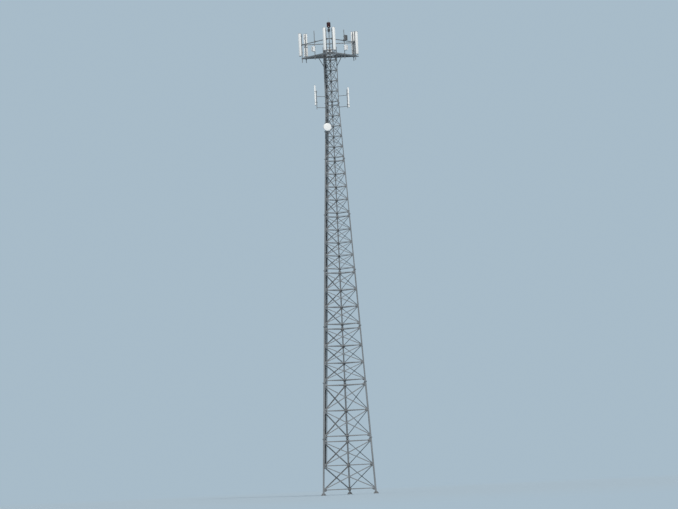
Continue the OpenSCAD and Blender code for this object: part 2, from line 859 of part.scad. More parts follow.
// A tube through the rings of a path, whose points each have a diameter
module tube(path, ds, x, y) {
    n = len(path);
    points = [for (s = [0:n - 1]) each tube_ring(path[s], x, y, ds[s] / 2)];
    sides = [for (s = [0:n - 2], i = [0:cable_sides - 1]) let (j = (i + 1) % cable_sides)
        [s * cable_sides + i, (s + 1) * cable_sides + i, (s + 1) * cable_sides + j, s * cable_sides + j]];
    ends = [[for (i = [0:cable_sides - 1]) i],
        [for (i = [cable_sides - 1:-1:0]) (n - 1) * cable_sides + i]];
    polyhedron(points, concat(sides, ends));
}

module cables() at_foot() color(rubber_black) {
    zs = [cable_low - plug_h, cable_low, cable_low, bend_z, cable_top, cable_top, cable_top + plug_h];
    ds = [plug_d, plug_d, cable_d, cable_d, cable_d, plug_d, plug_d];
    for (layer = [0, 1], i = [0:cable_n - 1]) {
        x = (i - (cable_n - 1) / 2) * cable_pitch;
        out = ladder_off + rail_deep + cable_d / 2 + layer * (cable_d + layer_gap);
        tube([for (z = zs) ladder_at(x, out, z)], ds, -face_e(rear), dir(150));
    }
}

leg_left_lower();
leg_left_upper();
leg_right_lower();
leg_right_upper();
leg_rear_lower();
leg_rear_upper();
bracing_front_lower();
bracing_front_upper();
bracing_front_top();
bracing_right_lower();
bracing_right_upper();
bracing_right_top();
bracing_left_lower();
bracing_left_upper();
bracing_left_top();
platform_arms();
deck_front();
deck_left();
deck_right();
edge_pipe_left();
edge_pipe_right();
edge_pipe_rear();
handrail_left();
handrail_right();
handrail_rear();
mast_pipes_left();
mast_pipes_right();
mast_pipes_rear();
panel_left_near();
panel_left_far();
panel_right_near();
panel_right_far();
panel_rear_left();
panel_rear_right();
radio_units();
beacon_pole();
beacon();
lightning_rod();
side_arm_left();
side_arm_right();
side_antenna_left();
side_antenna_right();
dish();
dish_mount();
cable_ladder();
cables();
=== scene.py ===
import json
from math import atan, copysign, cos, dist, pi, radians, sin, sqrt

import bpy
from mathutils import Matrix, Vector

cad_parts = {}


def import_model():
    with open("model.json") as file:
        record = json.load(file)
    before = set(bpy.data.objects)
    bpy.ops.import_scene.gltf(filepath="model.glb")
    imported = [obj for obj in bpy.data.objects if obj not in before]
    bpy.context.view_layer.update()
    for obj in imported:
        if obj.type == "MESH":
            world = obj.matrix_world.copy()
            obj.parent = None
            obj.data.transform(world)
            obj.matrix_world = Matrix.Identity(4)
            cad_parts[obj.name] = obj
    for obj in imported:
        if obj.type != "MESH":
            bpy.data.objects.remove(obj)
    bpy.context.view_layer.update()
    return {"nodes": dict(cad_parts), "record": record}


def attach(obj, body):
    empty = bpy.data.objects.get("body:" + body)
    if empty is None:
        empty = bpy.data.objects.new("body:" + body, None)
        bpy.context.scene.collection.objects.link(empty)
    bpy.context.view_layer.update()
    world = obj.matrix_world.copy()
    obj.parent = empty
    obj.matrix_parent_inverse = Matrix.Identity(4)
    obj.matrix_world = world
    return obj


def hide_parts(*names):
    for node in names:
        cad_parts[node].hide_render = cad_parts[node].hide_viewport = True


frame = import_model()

# The tower's driving sizes, in metres, as the frame was built
SECTION_H = 4.572
TOP_FACE_W = 1.0668
TAPER = 0.1
LEG_OD = [0.1413, 0.1413, 0.1143, 0.1143, 0.1016, 0.0889, 0.073, 0.073]
PANELS = [2, 2, 3, 3, 4, 4, 5, 5]
BRACE_W = [0.076, 0.076, 0.064, 0.064, 0.051, 0.051, 0.045, 0.045]
BRACE_T = 0.006
GUSSET_T = 0.010
SEAT = 0.0005
FIRST_BRACE_Z = 0.45
SECTIONS = len(LEG_OD)
TOWER_H = SECTIONS * SECTION_H
BEND_Z = (SECTIONS - 1) * SECTION_H
LEG_DIRS = [210, 330, 90]
LEGS = range(3)
LEFT, RIGHT, REAR = LEGS
LEG_NAMES = ["left", "right", "rear"]
FACE_NAMES = ["front", "right", "left"]

# The platform, its pipes and their clamps
PLATFORM_W = 4.572
PLATFORM_IN = PLATFORM_W / (2 * sqrt(3))
TOP_OD = LEG_OD[-1]
TOP_R = TOP_FACE_W / sqrt(3)
COLLAR_T = 0.014
DECK_Z = TOWER_H - 0.576
GRATING_T = 0.030
ARM_TOP = DECK_Z - GRATING_T
EDGE_D = 0.0889
RAIL_D = 0.073
MAST_R = 0.03015
CLAMP_T = 0.016
CLAMP_BITE = 0.003
EDGE_Z = ARM_TOP - EDGE_D / 2
RAIL_Z = DECK_Z + 1.067
MAST_X = PLATFORM_IN + EDGE_D / 2 + CLAMP_T - CLAMP_BITE + MAST_R
MAST_LOW = DECK_Z - 0.420
MAST_HIGH = DECK_Z + 1.960
CLAMP_X = MAST_X - MAST_R - CLAMP_T + CLAMP_BITE
RAIL_X = CLAMP_X - RAIL_D / 2
MAST_S = [[-2.13, 0, 1.94], [-1.94, 0, 1.76], [-1.95, 0, 1.96]]
CAP_T = 0.010
SPIDER_T = 0.012
POLE_R = 0.0365
POLE_TOP = 38.24

# The side antennas and the cable ladder
SIDE_X = TOP_R + 0.830
SIDE_LOW = BEND_Z - 0.354
SIDE_HIGH = BEND_Z + 0.556
SIDE_PIPE_LOW = SIDE_LOW - 0.150
SIDE_PIPE_HIGH = SIDE_HIGH + 0.490
LADDER_IN = 0.520
LADDER_HALF = 0.175
LADDER_OFF = 0.100
LADDER_LOW = 2.150
LADDER_RAIL = 0.050
RAIL_THICK = 0.008
RUNG_PITCH = 0.900
RUNG_END = 0.150
CABLE_N = 6
CABLE_D = 0.028
CABLE_PITCH = 0.046
LAYER_GAP = 0.008
CABLE_LOW = 2.400
CABLE_TOP = TOWER_H - 0.076

UP = Vector((0, 0, 1))


def direction(angle):
    a = radians(angle)
    return Vector((cos(a), sin(a), 0))


def face_width(z):
    return TOP_FACE_W + TAPER * max(0, BEND_Z - z)


def leg_radius(z):
    return face_width(z) / sqrt(3)


FOOT = Vector((0, -leg_radius(0), 0))


def leg_at(k, z):
    return FOOT + leg_radius(z) * direction(LEG_DIRS[k % 3]) + z * UP


def leaning(bottom, top, z):
    """The way from bottom to top below the tower's bend, and plumb above it."""
    return (top - bottom).normalized() if z < BEND_Z - 1e-6 else UP


def leg_up(k, z):
    return leaning(leg_at(k, 0), leg_at(k, BEND_Z), z)


def face_along(k):
    return (leg_at(k + 1, 0) - leg_at(k, 0)).normalized()


def face_mid(k, z):
    return (leg_at(k, z) + leg_at(k + 1, z)) / 2


def face_up(k, z):
    return leaning(face_mid(k, 0), face_mid(k, BEND_Z), z)


def face_normal(k, z):
    return face_along(k).cross(face_up(k, z))


def shift(x=0, y=0, z=0):
    return Matrix.Translation((x, y, z))


def spin(degrees, axis="Z"):
    return Matrix.Rotation(radians(degrees), 4, axis)


OVER = spin(180, "X")


def place(origin, x, y):
    """A frame with its origin and two square unit axes."""
    return Matrix(((*x, 0), (*y, 0), (*x.cross(y), 0), (*origin, 1))).transposed()


def place_along(origin, axis, hint=None):
    """A frame whose z runs along axis, with x as near to hint as it can be."""
    axis = axis.normalized()
    if hint is None:
        hint = Vector((1, 0, 0)) if abs(axis.x) < 0.9 else Vector((0, 1, 0))
    x = (hint - hint.dot(axis) * axis).normalized()
    return place(origin, x, axis.cross(x))


def aimed(at, spot, along, hint=None):
    """A frame at a point of the frame at, with z along one of at's own directions."""
    turn = at.to_3x3()
    return place_along(at @ Vector(spot), turn @ Vector(along), turn @ Vector(hint) if hint else None)


def around(at, count, radius=0, z=0, first=0.5):
    """Frames in a ring round at's z axis, the first one turned by a share of a step."""
    return [at @ spin(360 * (i + first) / count) @ shift(radius, 0, z) for i in range(count)]


def on_axis(z):
    return shift(*FOOT) @ shift(z=z)


def sector_place(k, x, y=0, z=0):
    """A frame that faces out over a leg, at x out from the tower's axis."""
    return on_axis(z) @ spin(LEG_DIRS[k]) @ shift(x, y)


def sector_point(k, x, y, z):
    return sector_place(k, x, y, z).translation


def ladder_at(x, out, z):
    """A point of the cable ladder: across its width, out from the face, at a height."""
    return leg_at(LEFT, z) - (LADDER_IN + x) * face_along(REAR) + out * direction(150)


def arc(cx, cy, rx, ry, start, end, steps):
    """Points round a centre from one angle to another, with both ends."""
    turns = [radians(start + (end - start) * i / steps) for i in range(steps + 1)]
    return [(cx + rx * cos(a), cy + ry * sin(a)) for a in turns]


def wheel(sides):
    return arc(0, 0, 1, 1, 0, 360, sides)[:-1]


def added(name, data):
    """A new object of the scene."""
    obj = bpy.data.objects.new(name, data)
    bpy.context.scene.collection.objects.link(obj)
    return obj


# Materials


class Nodes:
    """A short way to write a node tree. A value is an output to link, a colour or a plain number."""

    def __init__(self, owner, shader):
        owner.use_nodes = True
        self.owner = owner
        self.tree = owner.node_tree
        self.shader = self.tree.nodes[shader]

    def feed(self, socket, value):
        if isinstance(value, bpy.types.NodeSocket):
            self.tree.links.new(value, socket)
        else:
            socket.default_value = (*value, 1) if socket.type == "RGBA" else value

    def drive(self, **values):
        """Feeds the shader's sockets."""
        for name, value in values.items():
            self.feed(self.shader.inputs[name.replace("_", " ")], value)

    def add(self, kind, inputs, output=0, **settings):
        """One output of a new node, which is fed by its sockets' names or places."""
        node = self.tree.nodes.new(f"ShaderNode{kind}")
        for name, value in settings.items():
            setattr(node, name, value)
        for key, value in inputs.items():
            self.feed(node.inputs[key], value)
        return node.outputs[output]

    def noise(self, scale, detail, roughness=0.55, stretch=(1, 1, 1)):
        at = self.add("Mapping", {"Vector": self.coords, "Scale": stretch})
        return self.add("TexNoise", {"Vector": at, "Scale": scale, "Detail": detail, "Roughness": roughness})

    def ramp(self, fac, low, high):
        """A colour ramp between two stops, each a position and a colour."""
        colour = self.add("ValToRGB", {"Fac": fac})
        for stop, (at, stop_colour) in zip(colour.node.color_ramp.elements, (low, high)):
            stop.position = at
            stop.color = (*stop_colour, 1)
        return colour

    def mix(self, fac, a, b):
        """Mixes two colours."""
        return self.add("Mix", {0: fac, 6: a, 7: b}, 2, data_type="RGBA")

    def maths(self, operation, a, b):
        return self.add("Math", {0: a, 1: b}, operation=operation)

    def range(self, value, low, high, to_low, to_high):
        return self.add("MapRange", {"Value": value, "From Min": low, "From Max": high,
                                     "To Min": to_low, "To Max": to_high})

    def bump(self, height, strength, distance):
        self.drive(Normal=self.add("Bump", {"Height": height, "Strength": strength, "Distance": distance}))


def material_nodes(name):
    """The nodes of a new material, with the coordinates that its textures follow."""
    n = Nodes(bpy.data.materials.new(name), "Principled BSDF")
    n.coords = n.add("TexCoord", {}, "Object")
    return n


def tinted(colour, *factors):
    """A colour with its channels scaled, by one factor or by three."""
    return tuple(c * f for c, f in zip(colour, factors * 3))


def galvanised(name, light, dark, streak=0.5):
    """Weathered zinc: faint spangle, dull patches, and broad and narrow streaks of run-off."""
    n = material_nodes(name)
    cells = n.add("TexVoronoi", {"Vector": n.coords, "Scale": 38}, "Color")
    spangle = n.ramp(cells, (0.15, dark), (0.9, light))
    patches = n.noise(2.2, 6, 0.6)
    base = n.mix(n.range(patches, 0.35, 0.7, 0.15, 0.75), spangle, tinted(light, 0.93))
    broad = n.noise(0.45, 3, 0.5)
    toned = n.mix(n.range(broad, 0.38, 0.64, 0, 0.5), base, tinted(dark, 0.92))
    streaks = n.range(n.noise(9, 5, 0.65, (1, 1, 0.06)), 0.52, 0.72, 0, streak)
    n.drive(Base_Color=n.mix(streaks, toned, tinted(dark, 0.82, 0.78, 0.72)), Metallic=0.45,
            Roughness=n.range(patches, 0.3, 0.75, 0.42, 0.62))
    n.bump(n.noise(160, 3, 0.5), 0.12, 0.001)
    return n.owner


def moulded(name, colour, grime, roughness=0.38):
    """A moulded or painted housing with faint mottling and grime washed down it."""
    n = material_nodes(name)
    mottled = n.mix(n.range(n.noise(3.5, 4, 0.6), 0.3, 0.7, 0, 0.5), colour, tinted(colour, 0.955))
    wash = n.noise(16, 5, 0.7, (1, 1, 0.08))
    n.drive(Base_Color=n.mix(n.range(wash, 0.55, 0.78, 0, 0.3), mottled, grime),
            Roughness=n.range(wash, 0.4, 0.75, roughness, roughness + 0.2))
    n.bump(n.noise(220, 2, 0.5), 0.08, 0.0006)
    return n.owner


def jacket(name, colour, dust):
    """A black cable jacket, dusty in patches."""
    n = material_nodes(name)
    patches = n.range(n.noise(7, 5, 0.65, (1, 1, 0.2)), 0.45, 0.75, 0, 0.5)
    n.drive(Base_Color=n.mix(patches, colour, dust),
            Roughness=n.range(n.noise(30, 3, 0.5), 0.3, 0.7, 0.45, 0.65))
    n.bump(n.noise(300, 2, 0.5), 0.1, 0.0004)
    return n.owner


def red_lens(name, dark, light):
    """An unlit lens, so dark a red that it is nearly black, with a glossy skin."""
    n = material_nodes(name)
    n.drive(Base_Color=n.ramp(n.noise(11, 4, 0.6, (1, 1, 0.4)), (0.3, dark), (0.75, light)),
            Roughness=n.range(n.noise(24, 3, 0.5), 0.3, 0.7, 0.12, 0.28),
            Coat_Weight=0.35, Coat_Roughness=0.12, IOR=1.49)
    return n.owner


STEEL = galvanised("galvanised_steel", (0.275, 0.285, 0.292), (0.19, 0.20, 0.207))
STEEL_BRIGHT = galvanised("galvanised_fixings", (0.34, 0.35, 0.36), (0.24, 0.25, 0.26), 0.25)
# The grating is darker than the other galvanised steel: painted shade for the deck's underside.
GRATING_PAINTED_SHADE = galvanised("galvanised_grating", (0.24, 0.25, 0.258), (0.155, 0.165, 0.172), 0.35)
PANEL_WHITE = moulded("fibreglass_white", (0.81, 0.81, 0.79), (0.60, 0.585, 0.54))
DISH_WHITE = moulded("dish_paint", (0.82, 0.83, 0.83), (0.62, 0.61, 0.57), 0.42)
BEACON_PAINT = moulded("beacon_casting", (0.042, 0.017, 0.016), (0.075, 0.055, 0.050), 0.4)
CONTROL_PAINT = moulded("control_box_paint", (0.045, 0.048, 0.050), (0.085, 0.083, 0.078), 0.42)
RADIO_PALE = moulded("radio_paint", (0.79, 0.795, 0.79), (0.56, 0.55, 0.52), 0.45)
# The upper radio's dark grey is painted shade: the same kind of unit as the pale ones, coloured as if it sat
# in shade.
RADIO_PAINTED_SHADE = moulded("radio_paint_painted_shade", (0.13, 0.137, 0.145), (0.19, 0.185, 0.175), 0.48)
CAP_GREY = moulded("cap_plastic", (0.26, 0.27, 0.28), (0.19, 0.19, 0.18), 0.5)
LENS_RED = red_lens("lens_red", (0.018, 0.002, 0.002), (0.070, 0.004, 0.004))
ROD_METAL = galvanised("rod_aluminium", (0.50, 0.51, 0.52), (0.38, 0.39, 0.40), 0.2)
CABLE_BLACK = jacket("cable_jacket", (0.02, 0.02, 0.023), (0.085, 0.083, 0.078))
NODE_MATERIAL = {
    "galvanised_steel": STEEL,
    "panel_white": PANEL_WHITE,
    "dish_white": DISH_WHITE,
    "radio_grey": RADIO_PALE,
    "beacon_red": LENS_RED,
    "rod_aluminium": ROD_METAL,
    "cable_black": CABLE_BLACK,
}


def dress_nodes():
    """Every CAD node gets the material of its slot."""
    slots = {s["node"]: s["material_slot"] for s in frame["record"]["subparts"]}
    for name, obj in frame["nodes"].items():
        for slot in obj.material_slots:
            slot.material = NODE_MATERIAL[slots[name]]


# Solids

TINY = 1e-5
WASHER_T = 0.003
WELD = 0.010
BEAD_R = 0.005

# The parts of a bolt, as shares of its diameter
WASHER_R = 1.05
NUT_ACROSS = 1.9
NUT_H = 0.8
HEAD_H = 0.62
THREAD_OUT = 1.5


class Shape:
    """Faces gathered from many small solids, which become one object."""

    def __init__(self):
        self.verts = []
        self.faces = []

    def loft(self, rings):
        """A solid through closed rings of equal length, with both ends closed."""
        n = len(rings[0])
        start = len(self.verts)
        last = start + (len(rings) - 1) * n
        self.verts.extend(p for ring in rings for p in ring)
        for low in range(start, last, n):
            for i in range(n):
                j = (i + 1) % n
                self.faces.append((low + i, low + j, low + n + j, low + n + i))
        self.faces.append(tuple(reversed(range(start, start + n))))
        self.faces.append(tuple(range(last, last + n)))

    def prism(self, at, outline, z0, z1):
        """An outline drawn counter-clockwise in at's xy plane, from z0 to z1."""
        self.loft([[at @ Vector((x, y, z)) for x, y in outline] for z in (z0, z1)])

    def box(self, at, low, high):
        outline = [(low[0], low[1]), (high[0], low[1]), (high[0], high[1]), (low[0], high[1])]
        self.prism(at, outline, low[2], high[2])

    def turned(self, at, profile, sides):
        """Turns (radius, height) points about at's z axis. The ends may close on the axis."""
        if profile[-1][1] < profile[0][1]:
            profile = profile[::-1]
        radii = [(max(r, TINY), z) for r, z in profile]
        self.loft([[at @ Vector((r * c, r * s, z)) for c, s in wheel(sides)] for r, z in radii])

    def rod(self, at, radius, low, high, sides=12):
        self.turned(at, [(radius, low), (radius, high)], sides)

    def tube(self, points, radius, sides=8):
        """A round tube along points, with frames carried along so that it doesn't twist."""
        rings = []
        side = None
        for i, p in enumerate(points):
            t = (points[min(i + 1, len(points) - 1)] - points[max(i - 1, 0)]).normalized()
            if side is None:
                side = t.orthogonal()
            side = (side - side.dot(t) * t).normalized()
            up = t.cross(side)
            rings.append([p + radius * (c * side + s * up) for c, s in wheel(sides)])
        self.loft(rings)

    def nut(self, at, size, z, height):
        """A six-sided nut or head with its edges turned off; size is across the corners."""
        r = size / 2
        self.turned(at, [(r, z), (r, z + 0.8 * height), (0.86 * r, z + height)], 6)

    def stud(self, at, radius, ends, nut, height, levels, sides=8):
        """A threaded rod along at's z, with nuts of one size at some levels."""
        self.rod(at, radius, *ends, sides)
        for z in levels:
            self.nut(at, nut, z, height)

    def washer_nut(self, at, washer_r, size, height):
        """A washer on at's xy plane, and a nut or head on it."""
        self.rod(at, washer_r, 0, WASHER_T)
        self.nut(at, size, WASHER_T, height)

    def usual_nut(self, at, d, height=NUT_H):
        """The washer, and the nut or head, of a bolt of diameter d in its usual shares."""
        self.washer_nut(at, WASHER_R * d, NUT_ACROSS * d, height * d)

    def bolt(self, at, d, grip_low, grip_high):
        """A bolt along at's z: head above grip_high, nut and a thread end below grip_low."""
        down = at @ shift(z=grip_low) @ OVER
        self.usual_nut(at @ shift(z=grip_high), d, HEAD_H)
        self.usual_nut(down, d)
        self.turned(down, [(d / 2, 0), (d / 2, 0.9 * THREAD_OUT * d), (0.38 * d, THREAD_OUT * d)], 8)

    def fillet(self, at, radius, z):
        """A weld bead in the corner between a pipe and the plate that it stands on."""
        self.turned(at, [(radius - 0.001, z - 0.001), (radius + WELD, z),
                         (radius + 0.4 * WELD, z + 0.5 * WELD), (radius - 0.001, z + WELD)], 24)

    def make(self, name, material=STEEL_BRIGHT, slot="galvanised_steel", smooth_angle=35, replaced=()):
        mesh = bpy.data.meshes.new(name)
        mesh.from_pydata([tuple(v) for v in self.verts], [], self.faces)
        mesh.validate()
        mesh.shade_smooth()
        mesh.set_sharp_from_angle(angle=radians(smooth_angle))
        mesh.materials.append(material)
        obj = added(name, mesh)
        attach(obj, "root")
        if replaced:
            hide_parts(*replaced)


def turned_piece(name, at, profile, sides, *looks):
    """A piece that is one turned solid."""
    shape = Shape()
    shape.turned(at, profile, sides)
    shape.make(name, *looks)


# Bracing: its places as the frame's bars lie, its bolts and its welds

LEG_CLEAR = 0.010
BAR_CLEAR = 0.005
JOINT_CLEAR = 0.060
BRACE_BOLT_D = [0.016] * 4 + [0.0127] * 4
WIDE_BRACE = 0.06
END_BOLTS_WIDE = [0.030, 0.080]
END_BOLTS_SLIM = [0.028]
LEVEL_BOLT_IN = 0.024


def bar_start(j):
    return LEG_OD[j] / 2 + LEG_CLEAR + BRACE_W[j] / 2


def brace_gap(j):
    return BRACE_W[j] + BAR_CLEAR


def gusset_half(j):
    return brace_gap(j) + BRACE_W[j]


def panel_z(j, i):
    end = gusset_half(j) + JOINT_CLEAR
    low = FIRST_BRACE_Z if j == 0 else j * SECTION_H + end
    high = (j + 1) * SECTION_H - end
    return low + i * (high - low) / PANELS[j]


def bar_end_bolts(shape, k, j, z_from, z_to, side, offsets):
    """Bolts at both ends of a bar on the face's outer side (1) or its inner side (-1)."""
    inset = face_along(k) * bar_start(j)
    p, q = leg_at(k, z_from) + inset, leg_at(k + 1, z_to) - inset
    u = (q - p).normalized()
    for end, sign in ((p, 1), (q, -1)):
        for off in offsets:
            at = place_along(end + u * off * sign, side * face_normal(k, j * SECTION_H), u)
            shape.bolt(at, BRACE_BOLT_D[j], -GUSSET_T / 2, GUSSET_T / 2 - SEAT + BRACE_T)


def brace_bolts(k):
    """Bolts through the bar ends, and through the fill plate of each crossing."""
    shape = Shape()
    outer = GUSSET_T / 2 - SEAT + BRACE_T
    for j in range(SECTIONS):
        w = BRACE_W[j]
        offsets = END_BOLTS_WIDE if w > WIDE_BRACE else END_BOLTS_SLIM
        for i in range(PANELS[j]):
            z0 = panel_z(j, i) + brace_gap(j)
            z1 = panel_z(j, i + 1) - brace_gap(j)
            bar_end_bolts(shape, k, j, z0, z1, 1, offsets)
            bar_end_bolts(shape, k, j, z1, z0, -1, offsets)
            w0, w1 = [face_width(z) - 2 * bar_start(j) for z in (z0, z1)]
            z = z0 + (z1 - z0) * w0 / (w0 + w1)
            crossing = place_along(face_mid(k, z), face_normal(k, j * SECTION_H))
            shape.bolt(crossing, BRACE_BOLT_D[j], -outer, outer)
        for i in range(PANELS[j] + 1):
            z = panel_z(j, i)
            bar_end_bolts(shape, k, j, z, z, 1, [LEVEL_BOLT_IN, LEVEL_BOLT_IN + 0.8 * w])
    shape.make(f"brace_bolts_{FACE_NAMES[k]}")


def gusset_welds(k):
    """A bead on both sides of every gusset plate, where it meets its leg."""
    shape = Shape()
    g = GUSSET_T / 2
    for j in range(SECTIONS):
        x = sqrt((LEG_OD[j] / 2) ** 2 - g ** 2)
        bead = [(x - 0.001, g - 0.001), (x + WELD, g - 0.001),
                (x + 0.35 * WELD, g + 0.45 * WELD), (x - 0.002, g + WELD)]
        for i in range(PANELS[j] + 1):
            z = panel_z(j, i)
            for leg, toward in ((k, face_along(k)), (k + 1, -face_along(k))):
                at = place_along(leg_at(leg, z), leg_up(leg, z), toward)
                for plate_side in (at, at @ OVER):
                    shape.prism(plate_side, bead, -gusset_half(j), gusset_half(j))
    shape.make(f"gusset_welds_{FACE_NAMES[k]}", STEEL)


# Legs: flange bolts, the foot's anchors and welds, and step bolts

FLANGE_OVER = 0.110
FLANGE_T = 0.022
FLANGE_BOLT_D = 0.020
FLANGE_BOLT_N = [8] * 4 + [6] * 3
BASE_D = 0.430
BASE_T = 0.038
ANCHOR_N = 6
ANCHOR_R = 0.165
ANCHOR_ROD_R = 0.018
ANCHOR_TOP = 0.122
ANCHOR_WASHER_R = 0.034
ANCHOR_WASHER_T = 0.006
ANCHOR_NUT = 0.0635
ANCHOR_NUTS = [(0.006, 0.029), (0.036, 0.020)]
STIFFENER_H = 0.160
STIFFENER_T = 0.016
STIFFENER_TOE = BASE_D / 2 - 0.012
STEP_FROM = 3.0
STEP_TO = DECK_Z - 0.4
STEP_PITCH = 0.380
STEP_CLEAR = 0.085
STEP_TURN = 55
STEP_OUT = 0.165
STEP_R = 0.009
STEP_HEAD_R = 0.017
STEP_NUT = 0.033
STEP_NUT_H = 0.013
STEP_LUG = (0.025, 0.020, 0.012)


def stiffener_welds(shape, k, turn):
    """A bead on both sides of a stiffener, down the leg's skin and out along the base plate."""
    foot = leg_at(k, 0)
    along, across = direction(LEG_DIRS[k] + turn), direction(LEG_DIRS[k] + turn + 90)
    for side in (-STIFFENER_T / 2, STIFFENER_T / 2):
        line = []
        for z in (BASE_T + STIFFENER_H, BASE_T):
            lean = leg_at(k, z) - foot
            skin = lean.dot(along) + sqrt((LEG_OD[0] / 2) ** 2 - (side - lean.dot(across)) ** 2)
            line.append(foot + skin * along + side * across + z * UP)
        line.append(foot + STIFFENER_TOE * along + side * across + BASE_T * UP)
        shape.tube(line, BEAD_R, 6)


def leg_fixings(k):
    """Bolts and weld beads at every flange pair and the foot, and nuts on the foot's anchors."""
    shape = Shape()
    for j in range(1, SECTIONS):
        z = j * SECTION_H
        lower_od = LEG_OD[j - 1]
        at = place_along(leg_at(k, z), leg_up(k, z), direction(LEG_DIRS[k]))
        shape.fillet(at, LEG_OD[j] / 2, FLANGE_T)
        shape.fillet(at @ OVER, lower_od / 2, FLANGE_T)
        for spot in around(at, FLANGE_BOLT_N[j - 1], lower_od / 2 + FLANGE_OVER / 4):
            shape.bolt(spot, FLANGE_BOLT_D, -FLANGE_T, FLANGE_T)
    foot = sector_place(k, leg_radius(0))
    shape.fillet(foot, LEG_OD[0] / 2, BASE_T)
    rod = [(ANCHOR_ROD_R, 0.001), (ANCHOR_ROD_R, ANCHOR_TOP - 0.004), (ANCHOR_ROD_R - 0.003, ANCHOR_TOP)]
    for i, at in enumerate(around(foot, ANCHOR_N, ANCHOR_R, first=0)):
        shape.turned(at, rod, 16)
        top = at @ shift(z=BASE_T)
        shape.rod(top, ANCHOR_WASHER_R, 0, ANCHOR_WASHER_T, 20)
        for z, height in ANCHOR_NUTS:
            shape.nut(top, ANCHOR_NUT, z, height)
        stiffener_welds(shape, k, 360 * (i + 0.5) / ANCHOR_N)
    shape.make(f"leg_fixings_{LEG_NAMES[k]}")


def step_bolts():
    """Climbing bolts up the rear leg, to alternate sides, each in a lug on the pipe."""
    shape = Shape()
    x, y, half = STEP_LUG
    for i in range(int((STEP_TO - STEP_FROM) / STEP_PITCH)):
        z = STEP_FROM + i * STEP_PITCH
        joint = round(z / SECTION_H) * SECTION_H
        if abs(z - joint) < STEP_CLEAR:
            z = joint + copysign(STEP_CLEAR, z - joint)
        skin = LEG_OD[min(int(z / SECTION_H), SECTIONS - 1)] / 2
        tip = skin + STEP_OUT
        turn = STEP_TURN if i % 2 else -STEP_TURN
        at = place_along(leg_at(REAR, z), direction(LEG_DIRS[REAR] + turn), UP)
        shape.box(at, (-x, -y, skin - half), (x, y, skin + half))
        shape.rod(at, STEP_R, skin, tip)
        shape.turned(at, [(STEP_R, tip - 0.006), (STEP_HEAD_R, tip - 0.003), (STEP_HEAD_R, tip + 0.003),
                          (0.014, tip + 0.006)], 14)
        shape.nut(at, STEP_NUT, skin + half, STEP_NUT_H)
    shape.make("step_bolts")


# Arms that reach out from the legs: their clamps' bolts and their welds

ARM_COLLAR_H = 0.120
STRUT_COLLAR_H = 0.140
SIDE_COLLAR_H = 0.100
COLLAR_BOLT_D = 0.016
STRUT_Z = DECK_Z - 0.900
ARM_PIPE_R = 0.02415
STRUT_R = 0.03015
ARM_H = 0.100
ARM_W = 0.090
ARM_BITE = 0.0004
DISH_Z = BEND_Z - 2.004
DISH_ARMS = [DISH_Z - 0.330, DISH_Z + 0.340]
DISH_PIPE_DIR = 280
DISH_PIPE_OUT = 0.260
DISH_PIPE_H = 0.900
SPIDER_STUDS = [-0.018, 0.018]
STRUT_IN = 0.110


def dish_pipe_at(z):
    spot = leg_at(LEFT, DISH_Z) + DISH_PIPE_OUT * direction(DISH_PIPE_DIR)
    return Vector((spot.x, spot.y, z))


def collar_bolts(shape, at, height):
    """Two bolts through each ear of a clamp on a leg, whose ears stand along at's y axis."""
    reach = TOP_OD / 2 + 2.1 * COLLAR_T
    for y in (-reach, reach):
        for share in (0.25, 0.75):
            spot = aimed(at, (0, y, share * height), (1, 0, 0), (0, 0, 1))
            shape.bolt(spot, COLLAR_BOLT_D, -COLLAR_T / 2, COLLAR_T / 2)


def clamp_bolts():
    """The bolts of every clamp on the legs, and the studs that hold the spider to the leg caps."""
    shape = Shape()
    collars = ((ARM_TOP - ARM_COLLAR_H, ARM_COLLAR_H), (STRUT_Z - STRUT_COLLAR_H / 2, STRUT_COLLAR_H))
    for k in LEGS:
        for low, height in collars:
            collar_bolts(shape, sector_place(k, TOP_R, 0, low), height)
        for x in SPIDER_STUDS:
            stud = sector_place(k, TOP_R, 0, TOWER_H + CAP_T + SPIDER_T) @ shift(x)
            shape.washer_nut(stud, 0.016, 0.026, 0.012)
            shape.turned(stud, [(0.007, 0.012), (0.007, 0.022), (0.005, 0.024)], 10)
    for k in (LEFT, RIGHT):
        for z in (SIDE_LOW, SIDE_HIGH):
            low = z - SIDE_COLLAR_H / 2
            lean = -atan(TAPER / sqrt(3)) if z < BEND_Z else 0
            at = sector_place(k, leg_radius(low), 0, low) @ Matrix.Rotation(lean, 4, "Y")
            collar_bolts(shape, at, SIDE_COLLAR_H)
    for z in DISH_ARMS:
        leg, up = leg_at(LEFT, z), leg_up(LEFT, z)
        at = place_along(leg - up * SIDE_COLLAR_H / 2, up, dish_pipe_at(z) - leg)
        collar_bolts(shape, at, SIDE_COLLAR_H)
    shape.make("clamp_bolts")


def pipe_weld(shape, start, toward, bar_r, centre, axis, pipe_r):
    """A bead round a bar where it leaves a pipe's skin, on its way from start toward a point."""
    u = (toward - start).normalized()
    at = place_along(start, u)
    flat = u - u.dot(axis) * axis
    line = []
    for x, y in arc(0, 0, bar_r, bar_r, 0, 360, 24):
        p = at @ Vector((x, y, 0))
        d = p - centre - (p - centre).dot(axis) * axis
        b = d.dot(flat)
        root = sqrt(b * b - flat.dot(flat) * (d.dot(d) - pipe_r ** 2))
        line.append(p + (root - b) / flat.dot(flat) * u)
    shape.tube(line, BEAD_R, 6)


def corner_weld(shape, k, x, z, pipe_r):
    """A bead on the mitre where two sides' pipes meet, ground off at its outer tip."""
    skin = arc(x, z, pipe_r, pipe_r, 35, 325, 29)
    shape.tube([sector_point(k, out, sqrt(3) * out, up) for out, up in skin], 0.8 * BEAD_R, 6)


